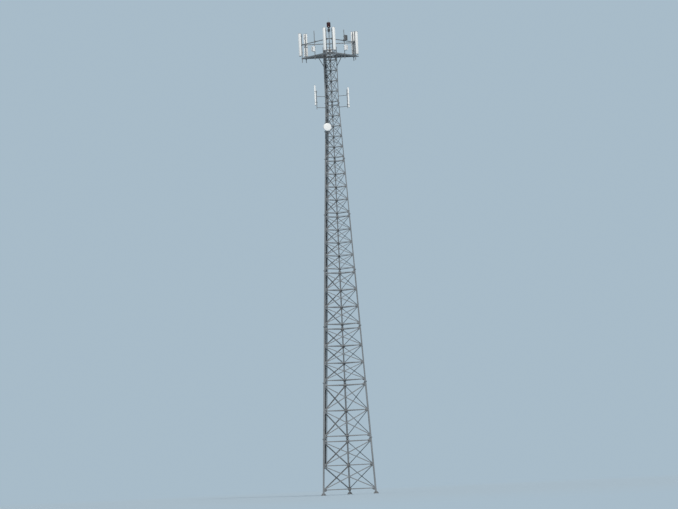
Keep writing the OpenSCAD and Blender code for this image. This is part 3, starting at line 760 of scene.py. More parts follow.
def platform_welds(shape, k):
    """Beads where a platform arm meets the edge pipe, its strut the collar, and pipes each other."""
    stop = PLATFORM_IN - EDGE_D / 2 + ARM_BITE
    half, rise = ARM_W / 2, 0.2 * EDGE_D
    seat = [(-half, -rise), (half, -rise), (half, rise), (-half, rise), (-half, -rise)]
    shape.tube([sector_point(k, stop, y, EDGE_Z + z) for y, z in seat], BEAD_R)
    leg = sector_point(k, TOP_R, 0, STRUT_Z)
    foot = sector_point(k, TOP_R + TOP_OD / 2 + COLLAR_T / 2, 0, STRUT_Z)
    head = sector_point(k, stop - STRUT_IN, 0, ARM_TOP - ARM_H + STRUT_R / 3)
    pipe_weld(shape, foot, head, STRUT_R, leg, UP, TOP_OD / 2 + COLLAR_T)
    corner_weld(shape, k, PLATFORM_IN, EDGE_Z, EDGE_D / 2)
    corner_weld(shape, k, RAIL_X, RAIL_Z, RAIL_D / 2)


def arm_welds():
    """Beads where the arms, the struts and the pipes round the platform are welded."""
    shape = Shape()
    for k in LEGS:
        platform_welds(shape, k)
    arms = [(k, z, sector_point(k, SIDE_X, 0, z))
            for k in (LEFT, RIGHT) for z in (SIDE_LOW, SIDE_HIGH)]
    arms += [(LEFT, z, dish_pipe_at(z)) for z in DISH_ARMS]
    for k, z, pipe in arms:
        leg = leg_at(k, z)
        pipe_weld(shape, leg, pipe, ARM_PIPE_R, leg, leg_up(k, z), TOP_OD / 2 + COLLAR_T)
        pipe_weld(shape, pipe, leg, ARM_PIPE_R, pipe, UP, MAST_R)
    shape.make("arm_welds", STEEL, smooth_angle=60)


def pipe_caps():
    """Moulded caps on the open ends of the mast pipes, the side pipes and the dish's pipe."""
    shape = Shape()
    ends = [(sector_place(k, MAST_X, s), MAST_LOW, MAST_HIGH)
            for k in LEGS for s in MAST_S[k]]
    ends += [(sector_place(k, SIDE_X), SIDE_PIPE_LOW, SIDE_PIPE_HIGH) for k in (LEFT, RIGHT)]
    ends.append((shift(*dish_pipe_at(0)), DISH_Z - DISH_PIPE_H / 2, DISH_Z + DISH_PIPE_H / 2))
    r = MAST_R
    cap = [(r - 0.0005, -0.030), (r + 0.002, -0.030), (r + 0.002, 0), (r, 0.004), (r - 0.012, 0.007)]
    for at, low, high in ends:
        shape.turned(at @ shift(z=high), cap, 28)
        shape.turned(at @ shift(z=low) @ OVER, cap, 28)
    shape.make("pipe_caps", CAP_GREY, "cable_black")


# Grating: bearing bars on edge, twisted cross rods, and a band round each piece

DECK_IN = 0.400
DECK_GAP = 0.004
TIP_CUT = 0.150
HATCH_W = 0.460
HATCH_OUT = 0.620
HATCH_AT = TOP_FACE_W / 2 - LADDER_IN
BAR_PITCH = 0.030
BAR_T = 0.005
BAR_IN = 0.004
BAR_SUNK = 0.002
ROD_PITCH = 0.100
ROD_R = 0.0045
ROD_STEP = 0.015
BAND_T = 0.006
CLIP_IN = 0.040
CLIP_PITCH = 0.45
CLIP_W = 0.012
CLIP_BOLT_D = 0.008
CLIP_SEAT = -0.011
CLIP_BOXES = [((-0.022, -0.002), (0.022, 0.001)), ((-0.008, -0.014), (0.008, CLIP_SEAT)),
              ((-0.0105, -0.014), (-0.008, -0.001)), ((0.008, -0.014), (0.0105, -0.001))]


def deck_outline(inset):
    """The deck piece's outline, with its corner on the x axis, as the frame has it."""
    side = inset + DECK_GAP
    edge = PLATFORM_IN - inset
    x0 = DECK_IN + inset
    x1 = (edge + sqrt(3) * side) / 2
    x2 = 2 * PLATFORM_IN - TIP_CUT - inset
    y0 = x0 * sqrt(3) - 2 * side
    y1 = x1 * sqrt(3) - 2 * side
    y2 = (edge - x2 / 2) / sin(radians(60))
    return [(x0, -y0), (x1, -y1), (x2, -y2), (x2, y2), (x1, y1), (x0, y0)]


def spans(outline, hatch, axis, value):
    """Where a line at this value of one axis lies in the outline and outside the hatch."""
    other = 1 - axis
    cuts = []
    for a, b in zip(outline, outline[1:] + outline[:1]):
        if (a[axis] - value) * (b[axis] - value) < 0:
            t = (value - a[axis]) / (b[axis] - a[axis])
            cuts.append(a[other] + t * (b[other] - a[other]))
    if len(cuts) < 2:
        return []
    low, high = min(cuts), max(cuts)
    if hatch and hatch[0][axis] < value < hatch[1][axis]:
        parts = [(low, hatch[0][other]), (hatch[1][other], high)]
        return [(a, b) for a, b in parts if b - a > 0.01]
    return [(low, high)]


def twisted_rod(shape, at, x, y0, y1):
    """A square rod let into the tops of the bars, twisted along its length."""
    steps = max(2, int((y1 - y0) / ROD_STEP))
    rings = []
    for s in range(steps + 1):
        y = y0 + (y1 - y0) * s / steps
        corners = arc(x, -ROD_R, ROD_R, -ROD_R, 45 * s, 45 * s + 270, 3)
        rings.append([at @ Vector((a, y, b)) for a, b in corners])
    shape.loft(rings)


def grating(name, angle, has_hatch):
    """One piece of the deck, which takes the place of the plain node, and its clips."""
    shape = Shape()
    at = on_axis(DECK_Z) @ spin(angle)
    outline = deck_outline(BAR_IN)
    hatch = None
    if has_hatch:
        reach = HATCH_W / 2 + BAND_T
        hatch = ((0, HATCH_AT - reach), (HATCH_OUT + BAND_T, HATCH_AT + reach))
    count = int(PLATFORM_IN * 2 / BAR_PITCH)
    for i in range(-count, count + 1):
        y = i * BAR_PITCH
        for a, b in spans(outline, hatch, 1, y):
            shape.box(at, (a, y - BAR_T / 2, -GRATING_T), (b, y + BAR_T / 2, -BAR_SUNK))
    for i in range(1, int(PLATFORM_IN * 2 / ROD_PITCH) + 1):
        x = i * ROD_PITCH
        for a, b in spans(outline, hatch, 0, x):
            twisted_rod(shape, at, x, a, b)
    banding(shape, at, hatch)
    # The grating's darker zinc is painted shade under the deck.
    shape.make(name, GRATING_PAINTED_SHADE, smooth_angle=30, replaced=(name.replace("grating", "deck"),))
    grating_clips(f"{name}_clips", at, hatch)


def grating_clips(name, at, hatch):
    """Saddle clips that hold the grating down along its sides, each with a bolt."""
    shape = Shape()
    outline = deck_outline(CLIP_IN)
    for (x0, y0), (x1, y1) in (outline[0:2], outline[1:3], outline[3:5], outline[4:6]):
        count = max(1, round(dist((x0, y0), (x1, y1)) / CLIP_PITCH))
        for i in range(count):
            share = (i + 0.5) / count
            x = x0 + share * (x1 - x0)
            y = (round((y0 + share * (y1 - y0)) / BAR_PITCH - 0.5) + 0.5) * BAR_PITCH
            if hatch and x < hatch[1][0] + CLIP_IN and hatch[0][1] < y < hatch[1][1]:
                continue
            spot = at @ shift(x, y)
            for low, high in CLIP_BOXES:
                shape.box(spot, (-CLIP_W, *low), (CLIP_W, *high))
            shape.bolt(spot, CLIP_BOLT_D, -GRATING_T - 0.004, CLIP_SEAT)
    shape.make(name, smooth_angle=30)


def banding(shape, at, hatch):
    """A flat bar on edge along each side of the deck piece, and round the hatch in its inner side."""
    outer, inner = deck_outline(0), deck_outline(BAND_T)
    for i in range(len(outer) - 1):
        quad = [outer[i], outer[i + 1], inner[i + 1], inner[i]]
        shape.prism(at, quad, -GRATING_T, 0)
    x0, edge = outer[-1]
    strips = [((x0, -edge), (x0 + BAND_T, edge))]
    if hatch:
        (_, y0), (x1, y1) = hatch
        strips = [
            ((x0, -edge), (x0 + BAND_T, y0 - BAND_T)),
            ((x0, y1 + BAND_T), (x0 + BAND_T, edge)),
            ((x0, y0 - BAND_T), (x1, y0)),
            ((x0, y1), (x1, y1 + BAND_T)),
            ((x1, y0 - BAND_T), (x1 + BAND_T, y1 + BAND_T)),
        ]
    for low, high in strips:
        shape.box(at, (*low, -GRATING_T), (*high, 0))


# Brackets that hold a housing off a pipe on at's z axis, on its +x side, and U-bolts

SADDLE_H = 0.030
SADDLE_BOLTS = [-0.040, 0.040]
FORK_SIDES = [-0.028, 0.024]
FORK_T = 0.004
FORK_SEAT_T = 0.006
PLATE_T = 0.008
PLATE_BOLTS = [-0.050, 0.050]
U_BOLT_D = 0.0127
U_BOLT_END = 0.030
U_BOLTS_UP = 0.050
U_BOLTS_SIDE = 0.055


def saddle_bracket(shape, at, reach):
    """Two saddle plates squeezed on a pipe by long bolts, and a fork to a housing at reach."""
    r = MAST_R
    edge, throat, back = r - 0.006, r + 0.001, r + 0.010
    saddle = [(edge, -0.048), (back, -0.048), (back, 0.048), (edge, 0.048),
              (edge, 0.024), (throat, 0.010), (throat, -0.010), (edge, -0.024)]
    for sign in (-1, 1):
        shape.prism(at, [(sign * x, y) for x, y in saddle][::sign], -SADDLE_H, SADDLE_H)
    ends, nuts = (-r - 0.034, r + 0.030), (back, -r - 0.018)
    for y in SADDLE_BOLTS:
        shape.stud(aimed(at, (0, y, 0), (1, 0, 0)), 0.005, ends, 0.019, 0.008, nuts, 10)
    seat, half = reach - FORK_SEAT_T, SADDLE_H - FORK_T
    for y in FORK_SIDES:
        shape.box(at, (back, y, -half), (seat, y + FORK_T, half))
    shape.box(at, (seat, -0.045, -SADDLE_H), (reach + 0.001, 0.045, SADDLE_H))
    shape.bolt(aimed(at, ((back + reach) / 2, 0, 0), (0, 1, 0)), 0.010, -0.028, 0.028)


def plate_bracket(shape, at, r, reach):
    """Two plates drawn together on a pipe by bolts, and a spacer to a housing at reach."""
    back = r + PLATE_T
    shape.box(at, (r, -0.060, -0.028), (back, 0.060, 0.028))
    shape.box(at, (-back, -0.060, -0.024), (-r, 0.060, 0.024))
    shape.box(at, (back, -0.040, -0.022), (reach + 0.001, 0.040, 0.022))
    ends, nuts = (-r - 0.024, min(r + 0.016, reach - 0.0005)), (back, -r - 0.015)
    for y in PLATE_BOLTS:
        shape.stud(aimed(at, (0, y, 0), (1, 0, 0)), 0.004, ends, 0.016, 0.007, nuts)


def u_bolt(shape, at, pipe_r, plate_x):
    """A bent rod round a pipe on at's z axis, with nuts on a plate at plate_x on the +x side."""
    d = U_BOLT_D
    ring = pipe_r + d / 2
    end = plate_x + U_BOLT_END
    bend = [(end, ring)] + arc(0, 0, ring, ring, 90, 270, 10) + [(end, -ring)]
    shape.tube([at @ Vector((x, y, 0)) for x, y in bend], d / 2)
    for y in (-ring, ring):
        shape.usual_nut(aimed(at, (plate_x, y, 0), (1, 0, 0)), d)


def mast_clamps(k):
    """Four U-bolts on each clamp plate: two round the mast pipe, two round the level pipe."""
    shape = Shape()
    for s in MAST_S[k]:
        for z, pipe_x, pipe_d in ((EDGE_Z, PLATFORM_IN, EDGE_D), (RAIL_Z, RAIL_X, RAIL_D)):
            for up in (-U_BOLTS_UP, U_BOLTS_UP):
                at = sector_place(k, MAST_X, s, z + up) @ spin(180)
                u_bolt(shape, at, MAST_R, MAST_X - CLAMP_X)
            for side in (-U_BOLTS_SIDE, U_BOLTS_SIDE):
                at = sector_place(k, pipe_x, s + side, z) @ spin(90, "X")
                u_bolt(shape, at, pipe_d / 2, CLAMP_X + CLAMP_T - pipe_x)
    shape.make(f"mast_clamps_{LEG_NAMES[k]}")


# Panel antennas: a bowed cover between two end caps, on two brackets

PANEL_H = 1.83
PANEL_W = 0.300
PANEL_DEPTH = 0.150
PANEL_LOW = DECK_Z + 0.150
PANEL_BACK = 0.110
PANEL_SOCKETS = 4
SOCKET_PITCH = 0.060
SOCKET_LOW = -0.025
PANEL_SOCKET = [(0.013, 0.001), (0.013, -0.010), (0.015, -0.010), (0.015, -0.030),
                (0.012, -0.031), (0.012, -0.040)]
END_TRAY = [(0, -0.002), (0.018, -0.002), (0.0235, 0.002), (0.025, 0.010)]
PANEL_PLACES = [("left_near", LEFT, 2, 0), ("left_far", LEFT, 0, 0), ("right_near", RIGHT, 0, 0),
                ("right_far", RIGHT, 2, 0.080), ("rear_left", REAR, 2, 0), ("rear_right", REAR, 0, 0)]
BRACKET_IN = 0.250
CORNER_SHARE = 0.28
BOW_POWER = 0.55
BOW_STEPS = 28
SCREW_OUT = 0.1518


def cover_outline():
    """A flat back with round corners and a bowed front."""
    r = PANEL_DEPTH * CORNER_SHARE
    half = PANEL_W / 2
    out = arc(r, r - half, -r, -r, 0, 90, 8)
    for c, s in arc(0, 0, 1, 1, -90, 90, BOW_STEPS):
        out.append((r + (PANEL_DEPTH - r) * max(c, 0) ** BOW_POWER, half * s))
    out += arc(r, half - r, -r, r, 90, 0, 8)
    return [p for p, before in zip(out, [(0, 0)] + out) if dist(p, before) > 1e-4]


COVER_OUTLINE = cover_outline()


def cover_ring(front, z, inset):
    """The cover's outline at a height, drawn in by an inset."""
    mid = PANEL_DEPTH / 2
    sx = 1 - 2 * inset / PANEL_DEPTH
    sy = 1 - 2 * inset / PANEL_W
    return [front @ Vector((mid + (x - mid) * sx, y * sy, z)) for x, y in COVER_OUTLINE]


def panel_cover(name, front):
    shape = Shape()
    lower = [(0, 0.006), (0.002, 0.001), (0.006, 0)]
    upper = [(PANEL_H - z, inset) for z, inset in reversed(lower)]
    shape.loft([cover_ring(front, z, inset) for z, inset in lower + upper])
    shape.make(f"{name}_cover", PANEL_WHITE, "panel_white", 40, (name,))


def panel_end_caps(name, front):
    """A tray over each end of the cover, with a screw in both of its sides."""
    shape = Shape()
    for end, sign in ((0, -1), (PANEL_H, 1)):
        shape.loft([cover_ring(front, end + sign * h, inset) for h, inset in END_TRAY][::sign])
    for side in (-1, 1):
        for z in (-0.012, PANEL_H + 0.012):
            screw = aimed(front, (PANEL_DEPTH * 0.42, side * SCREW_OUT, z), (0, side, 0))
            shape.turned(screw, [(0.005, -0.003), (0.005, 0.001), (0.003, 0.002)], 10)
    shape.make(f"{name}_end_caps", CAP_GREY, "panel_white", 30)


def panel_antenna(name, k, s, lower):
    """A panel antenna, with sockets in its lower end and two brackets to its mast pipe."""
    at = sector_place(k, MAST_X, s, PANEL_LOW - lower)
    front = at @ shift(PANEL_BACK)
    panel_cover(name, front)
    panel_end_caps(name, front)
    metal = Shape()
    for i in range(PANEL_SOCKETS):
        y = (i - (PANEL_SOCKETS - 1) / 2) * SOCKET_PITCH
        metal.turned(front @ shift(PANEL_DEPTH / 2, y, SOCKET_LOW), PANEL_SOCKET, 16)
    for h in (BRACKET_IN, PANEL_H - BRACKET_IN):
        saddle_bracket(metal, at @ shift(z=h), PANEL_BACK)
    metal.make(f"{name}_brackets")


# Side antennas: a tube with a rounded top on two banded brackets

WHIP_LOWS = [SIDE_LOW + 0.220, SIDE_LOW - 0.070]
WHIP_OFF = 0.120
WHIP_R = 0.060
WHIP_H = 1.600
WHIP_ROUND = 0.014
WHIP_BRACKETS = [0.210, 1.080]
BAND_HALF = 0.018


def side_antenna(k):
    name = f"side_antenna_{LEG_NAMES[k]}"
    pipe = sector_place(k, SIDE_X, 0, WHIP_LOWS[k])
    at = pipe @ shift(WHIP_OFF)
    top = at @ shift(z=WHIP_H)
    dome = arc(WHIP_R - WHIP_ROUND, WHIP_H - WHIP_ROUND, WHIP_ROUND, WHIP_ROUND, 0, 90, 6)
    tube = [(WHIP_R - 0.004, 0), (WHIP_R, 0.004)] + dome
    turned_piece(f"{name}_tube", at, tube, 64, PANEL_WHITE, "panel_white", 40, (name,))
    ends = Shape()
    ends.turned(at, [(0.040, -0.030), (0.045, -0.026), (0.045, -0.004), (0.052, 0.001)], 48)
    ends.turned(at, [(0.012, -0.055), (0.014, -0.053), (0.014, -0.030), (0.018, -0.028)], 20)
    ends.turned(top, [(0.045, -0.001), (0.045, 0.020), (0.036, 0.030)], 48)
    ends.make(f"{name}_ends", CAP_GREY, "panel_white", 40)
    metal = Shape()
    inner, outer = WHIP_R - 0.001, WHIP_R + 0.0025
    band = [(inner, -BAND_HALF), (outer, -BAND_HALF), (outer, BAND_HALF), (inner, BAND_HALF)]
    for z in WHIP_BRACKETS:
        saddle_bracket(metal, pipe @ shift(z=z), WHIP_OFF - WHIP_R)
        metal.turned(at @ shift(z=z), band, 64)
    metal.make(f"{name}_brackets")


# Radio units: finned castings with a carrying handle, on the middle mast pipes

RADIO_W = 0.310
RADIO_D = 0.130
RADIO_H = 0.420
RADIO_GAP = 0.060
RADIO_EDGE = 0.010
RADIO_Z = [[0.260], [0.260, 1.075], [0.260]]
FIN_N = 19
FIN_D = 0.045
FIN_T = 0.0032
RADIO_SOCKETS = [-0.080, 0, 0.080]
RADIO_SOCKET = [(0.014, 0.001), (0.014, -0.026), (0.011, -0.028), (0.011, -0.040)]
HANDLE = [(-0.070, -0.004), (-0.070, 0.020), (-0.062, 0.028), (0.062, 0.028), (0.070, 0.020), (0.070, -0.004)]


def radio_casting(shape, box):
    """A box with its corners cut off, and upright fins on its front."""
    w, edge = RADIO_W / 2, RADIO_EDGE
    outline = [(0, -w + edge), (edge, -w), (RADIO_D - edge, -w), (RADIO_D, -w + edge),
               (RADIO_D, w - edge), (RADIO_D - edge, w), (edge, w), (0, w - edge)]
    small = [(edge + (x - edge) * 0.94, y * 0.97) for x, y in outline]
    levels = ((small, 0), (outline, 0.008), (outline, RADIO_H - 0.008), (small, RADIO_H))
    shape.loft([[box @ Vector((x, y, h)) for x, y in ring] for ring, h in levels])
    root, tip = RADIO_D - 0.002, RADIO_D + FIN_D
    lower = [(root, 0.014), (tip - 0.010, 0.014), (tip, 0.026)]
    fin = lower + [(x, RADIO_H - h) for x, h in reversed(lower)]
    side = box @ spin(90, "X")
    for i in range(FIN_N):
        y = -w + 0.006 + i * (RADIO_W - 0.012) / (FIN_N - 1)
        shape.prism(side, fin, -y - FIN_T / 2, -y + FIN_T / 2)


def radio_units():
    """The lower units are pale; the one above on the right is dark grey, which is painted shade."""
    pale, dark, metal, sockets = Shape(), Shape(), Shape(), Shape()
    for k in LEGS:
        for z in RADIO_Z[k]:
            at = sector_place(k, MAST_X, 0, DECK_Z + z)
            box = at @ shift(RADIO_GAP)
            radio_casting(pale if z == RADIO_Z[k][0] else dark, box)
            for y in RADIO_SOCKETS:
                sockets.turned(box @ shift(RADIO_D / 2, y), RADIO_SOCKET, 16)
            sockets.tube([box @ Vector((RADIO_D / 2, y, RADIO_H + up)) for y, up in HANDLE], 0.005)
            for h in (0.25, 0.75):
                plate_bracket(metal, at @ shift(z=h * RADIO_H), MAST_R, RADIO_GAP)
    pale.make("radio_castings", RADIO_PALE, "radio_grey", 25, ("radio_units",))
    # The upper unit's darker colour is painted shade.
    dark.make("upper_radio_casting_painted_shade", RADIO_PAINTED_SHADE, "radio_grey", 25)
    metal.make("radio_brackets")
    sockets.make("radio_sockets", CAP_GREY, "radio_grey")


# Beacon: a ribbed red lens on a cast base, with a domed lid and guard rods

LENS_R = 0.165
LENS_LOW = 0.090
LENS_H = 0.260
LENS_RIB = 0.026
LENS_IN = 0.010
LENS_DEEP = 0.008
LENS_STEPS = 60
LID_RISE = 0.090
LID_Z = 0.390
GUARD_R = 0.004
BEACON_BASE = [(0.06, 0), (0.105, 0), (0.105, 0.012), (0.092, 0.016), (0.092, 0.040), (0.150, 0.056),
               (LENS_R, 0.064), (LENS_R, 0.088), (0.148, 0.092)]
BEACON_LID = [(0.148, 0.348), (LENS_R, 0.352), (LENS_R, 0.376), (0.160, 0.388)]


def beacon_lens(at):
    """The lens is drawn in between its ribs, and its ends go into the base and the lid."""
    levels = [i * LENS_H / LENS_STEPS for i in range(LENS_STEPS + 1)]
    ribbed = [(LENS_R - LENS_IN + LENS_DEEP * abs(cos(pi * t / LENS_RIB)), LENS_LOW + t)
              for t in levels]
    lens = [(0.150, LENS_LOW - 0.004)] + ribbed + [(0.150, LENS_LOW + LENS_H + 0.004)]
    turned_piece("beacon_lens", at, lens, 72, LENS_RED, "beacon_red", 50, ("beacon",))


def beacon():
    at = on_axis(POLE_TOP)
    beacon_lens(at)
    shape = Shape()
    shape.turned(at, BEACON_BASE, 72)
    dome = arc(0, LID_Z, LENS_R, LID_RISE, 15, 75, 4)
    shape.turned(at, BEACON_LID + dome + [(0.012, LID_Z + LID_RISE)], 72)
    for turn in around(at, 6):
        shape.turned(turn @ shift(0.098, 0, 0.012), [(0.008, 0), (0.008, 0.006), (0.006, 0.008)], 6)
        shape.tube([turn @ Vector((LENS_R - 0.001, 0, z)) for z in (0.070, 0.370)], GUARD_R)
    shape.make("beacon_housing", BEACON_PAINT, "beacon_red", 40)


# The beacon's control box on the front of its pole, and what holds the pole and the rod

CONTROL_W = 0.220
CONTROL_D = 0.110
CONTROL_H = 0.250
CONTROL_LOW = POLE_TOP - 0.330
CONTROL_GAP = 0.052
DOOR_T = 0.016
DOOR_GAP = 0.003
SEAM = CONTROL_D - DOOR_T
HUB_H = 0.060
ROD_BEHIND = 0.300
ROD_LOW = POLE_TOP - 0.740
STAY_T = 0.012
STAY_RISES = [0.060, 0.300]
STAY_NUT = 0.030
STAY_NUT_H = 0.010
GLANDS = [-0.045, 0.045]
GLAND = [(0.013, 0.002), (0.013, -0.010), (0.010, -0.012), (0.010, -0.024), (0.007, -0.028)]
HINGE_IN = 0.050
HINGE_HALF = 0.020


def rounded(half_w, height, r):
    """A rectangle with round corners, from 0 to height up, as points (across, up)."""
    corners = ((half_w - r, r), (half_w - r, height - r), (r - half_w, height - r), (r - half_w, r))
    return [p for i, (x, y) in enumerate(corners) for p in arc(x, y, r, r, 90 * i - 90, 90 * i, 4)]


def box_loft(shape, front, levels):
    """The control box's outline at depths from its back, each drawn in by an inset."""
    rings = []
    for depth, inset in levels:
        ring = rounded(CONTROL_W / 2 - inset, CONTROL_H - 2 * inset, 0.010)
        rings.append([front @ Vector((depth, y, z + inset)) for y, z in ring])
    shape.loft(rings)


def control_box():
    """A body with two glands, a lipped door, hinges, latches and two brackets to the pole."""
    at = on_axis(CONTROL_LOW) @ spin(-90)
    front = at @ shift(CONTROL_GAP)
    lip = SEAM - DOOR_GAP
    edge = CONTROL_D - 0.001
    housing = Shape()
    box_loft(housing, front, ((0, 0.004), (0.004, 0), (lip, 0), (lip, 0.006), (SEAM, 0.006)))
    for y in GLANDS:
        housing.turned(front @ shift(CONTROL_D / 2, y), GLAND, 16)
    housing.make("control_box_housing", CONTROL_PAINT, "beacon_red", 30)
    door = Shape()
    box_loft(door, front, ((SEAM - 0.001, 0.001), (SEAM, 0), (CONTROL_D - 0.006, 0), (edge, 0.004),
                           (edge, 0.018), (CONTROL_D, 0.022)))
    door.make("control_box_door", CONTROL_PAINT, "beacon_red", 30)
    metal = Shape()
    side = CONTROL_W / 2 - 0.001
    for z in (HINGE_IN, CONTROL_H - HINGE_IN):
        metal.rod(front @ shift(lip, -side, z), 0.005, -HINGE_HALF, HINGE_HALF)
        metal.box(front @ shift(SEAM - 0.012, side, z), (0, 0, -0.012), (0.022, 0.005, 0.012))
    for share in (0.22, 0.78):
        plate_bracket(metal, at @ shift(z=share * CONTROL_H), POLE_R, CONTROL_GAP)
    metal.make("control_box_fixings", smooth_angle=30)


def pole_fixings():
    """Beads at the pole's hub and top plate, and two nuts on the rod at each of its stays."""
    shape = Shape()
    shape.fillet(on_axis(TOWER_H + CAP_T + HUB_H), POLE_R, 0)
    shape.fillet(on_axis(POLE_TOP - SPIDER_T) @ OVER, POLE_R, 0)
    for rise in STAY_RISES:
        stay = on_axis(ROD_LOW + rise) @ shift(0, ROD_BEHIND)
        shape.nut(stay, STAY_NUT, STAY_T, STAY_NUT_H)
        shape.nut(stay @ OVER, STAY_NUT, 0, STAY_NUT_H)
    shape.make("pole_fixings")


# Dish: a painted drum with a taut radome, a riveted rim and a mounting ring on its back

DISH_R = 0.310
SHROUD = 0.300
DISH_BACK = 0.110
DISH_SUNK = 0.020
DISH_DIR = 285
DISH_AHEAD = 0.160
COVER_RISE = 0.028
CLIP_N = 12
RIVET_N = 24
RING_R = 0.134
RING_BOLT_R = 0.120
RING_BOLT_N = 8
RING_BACK = -0.022
SHELVES = [-0.075, 0.055]
CHEEKS = [-0.058, 0.050]
CHEEK_T = 0.008
DISH_U_BOLTS = [-0.070, 0.070]


def dish_drum(at):
    """A drum with a curved back and a rim at each end of its shroud."""
    r = DISH_R
    back = [(r * i / 12, DISH_BACK * (i / 12) ** 2 - DISH_SUNK) for i in range(13)]
    shroud = [(r, 0.100), (r, 0.110), (r - 0.003, 0.112), (r - 0.003, SHROUD - 0.020), (r, SHROUD - 0.018),
              (r, SHROUD), (r - 0.006, SHROUD + 0.004)]
    turned_piece("dish_drum", at, back + shroud, 96, DISH_WHITE, "dish_white", 30, ("dish",))


def dish_bracket(at, pipe):
    """The clips, the rivets and the ring with its bolts on the drum, and its bracket to the pipe."""
    shape = Shape()
    for clip in around(at, CLIP_N, first=0):
        shape.box(clip, (DISH_R - 0.002, -0.010, SHROUD - 0.050), (DISH_R, 0.010, SHROUD - 0.004))
    for rivet in around(at, RIVET_N, DISH_R, 0.100):
        shape.turned(rivet @ spin(90, "Y"), [(0.0055, -0.001), (0.0055, 0.0008), (0.003, 0.0022)], 8)
    shape.turned(at, [(0.010, RING_BACK), (RING_R - 0.004, RING_BACK), (RING_R, RING_BACK + 0.004),
                      (RING_R, 0.003)], 64)
    for head in around(at, RING_BOLT_N, RING_BOLT_R, RING_BACK):
        shape.washer_nut(head @ OVER, 0.011, 0.0185, 0.007)
    for z in SHELVES:
        shape.box(pipe, (MAST_R, -0.050, z), (DISH_AHEAD, 0.050, z + CHEEK_T))
    for y in CHEEKS:
        shape.box(pipe, (MAST_R, y, -0.085), (DISH_AHEAD, y + CHEEK_T, 0.085))
    for z in DISH_U_BOLTS:
        u_bolt(shape, pipe @ shift(z=z), MAST_R, MAST_R + 0.004)
    shape.make("dish_bracket")


def dish():
    pipe = shift(*dish_pipe_at(DISH_Z)) @ spin(DISH_DIR)
    at = pipe @ shift(DISH_AHEAD) @ spin(90, "Y")
    radome = arc(0, SHROUD + 0.002, DISH_R - 0.006, COVER_RISE, 0, 90, 14)
    dish_drum(at)
    turned_piece("dish_radome", at, radome, 96, PANEL_WHITE, "dish_white", 40)
    dish_bracket(at, pipe)


# Cables in two layers on their ladder, with hangers, splice plates and bolts

CABLE_BEND = 0.120
CABLE_NUT = 0.034
CABLE_BOOT = [(0.0142, -0.032), (0.0165, -0.026), (0.0165, 0.020), (0.0150, 0.024)]
CABLE_PLUG = [(0.0125, 0.050), (0.0125, 0.061), (0.0105, 0.063), (0.0105, 0.070)]
HANGER_HALF = 0.012
HANGER_CUT = 0.010
SPLICE_LEVELS = range(6, 36, 6)
SPLICE_HALF = 0.120
SPLICE_BOLTS = [-0.090, -0.035, 0.035, 0.090]
SPLICE_T = 0.005
SPLICE_BOLT_D = 0.010
BRACKET_BOLT_D = 0.012
ANGLE_T = 0.005
ANGLE_HALF = 0.016
LADDER_BAR_W = 0.040
LADDER_BAR_OUT = LADDER_OFF + LADDER_RAIL / 5
LADDER_OUT = direction(150)
LADDER_ACROSS = -face_along(REAR)


def column_x(column):
    return (column - (CABLE_N - 1) / 2) * CABLE_PITCH


def feeder_cables():
    """Twelve round feeders, each with a boot and a coupling at both ends."""
    jackets, couplings = Shape(), Shape()
    heights = [CABLE_LOW] + [BEND_Z + step * CABLE_BEND for step in (-2, -1, 0, 1, 2)] + [CABLE_TOP]
    for layer in (0, 1):
        out = LADDER_OFF + LADDER_RAIL + CABLE_D / 2 + layer * (CABLE_D + LAYER_GAP)
        for column in range(CABLE_N):
            line = [ladder_at(column_x(column), out, z) for z in heights]
            jackets.tube(line, CABLE_D / 2, 16)
            for end, inner in ((line[0], line[1]), (line[-1], line[-2])):
                at = place_along(end, end - inner)
                jackets.turned(at, CABLE_BOOT, 20)
                couplings.rod(at, 0.0135, 0.022, 0.031, 20)
                couplings.nut(at, CABLE_NUT, 0.030, 0.022)
                couplings.turned(at, CABLE_PLUG, 16)
    jackets.make("feeder_cables", CABLE_BLACK, "cable_black", 40, ("cables",))
    couplings.make("feeder_couplings")


def cable_hangers():
    """At each rung beside the cables, a hanger round each pair, with a stud through the rung."""
    shape = Shape()
    half = CABLE_D / 2 + 0.0045
    c = HANGER_CUT
    top = 2 * CABLE_D + LAYER_GAP + 0.004
    outline = [(-half, c), (-half + c, -0.003), (half - c, -0.003), (half, c),
               (half, top - c), (half - c, top), (-half + c, top), (-half, top - c)]
    count = int((CABLE_TOP - LADDER_LOW - RUNG_END) / RUNG_PITCH)
    for i in range(1, count + 1):
        z = LADDER_LOW + RUNG_END + i * RUNG_PITCH
        for column in range(CABLE_N):
            spot = ladder_at(column_x(column), LADDER_OFF + LADDER_RAIL, z)
            shape.prism(place(spot, LADDER_ACROSS, LADDER_OUT), outline, -HANGER_HALF, HANGER_HALF)
            shape.stud(place_along(spot, -LADDER_OUT), 0.005, (0, 0.024), 0.018, 0.007, [0.008])
    shape.make("cable_hangers")


def bracket_fixings(shape, side, j, z):
    """A bolt down through a bracket bar and its brace, and an angle clip from its end to the rail."""
    up, normal = face_up(REAR, z), face_normal(REAR, z)
    half = LADDER_BAR_W / 2
    rise = BRACE_T - SEAT + half - BRACE_W[j] / 2
    foot = ladder_at(side * LADDER_HALF, 0, z) + rise * up
    seat = foot + (GUSSET_T + BRACE_W[j]) / 2 * normal
    shape.bolt(place_along(seat, up, normal), BRACKET_BOLT_D, -half - BRACE_T, half)
    clip = place(foot, LADDER_ACROSS * side, LADDER_OUT)
    rail = RAIL_THICK / 2
    near = LADDER_BAR_OUT - SEAT
    shape.box(clip, (rail - SEAT, near, -ANGLE_HALF), (rail + ANGLE_T, near + 0.038, ANGLE_HALF))
    shape.box(clip, (rail, near, -ANGLE_HALF), (half - 0.001, near + ANGLE_T, ANGLE_HALF))
    shape.bolt(aimed(clip, (0, near + 0.023, 0), (1, 0, 0)), BRACKET_BOLT_D, -rail, rail + ANGLE_T)


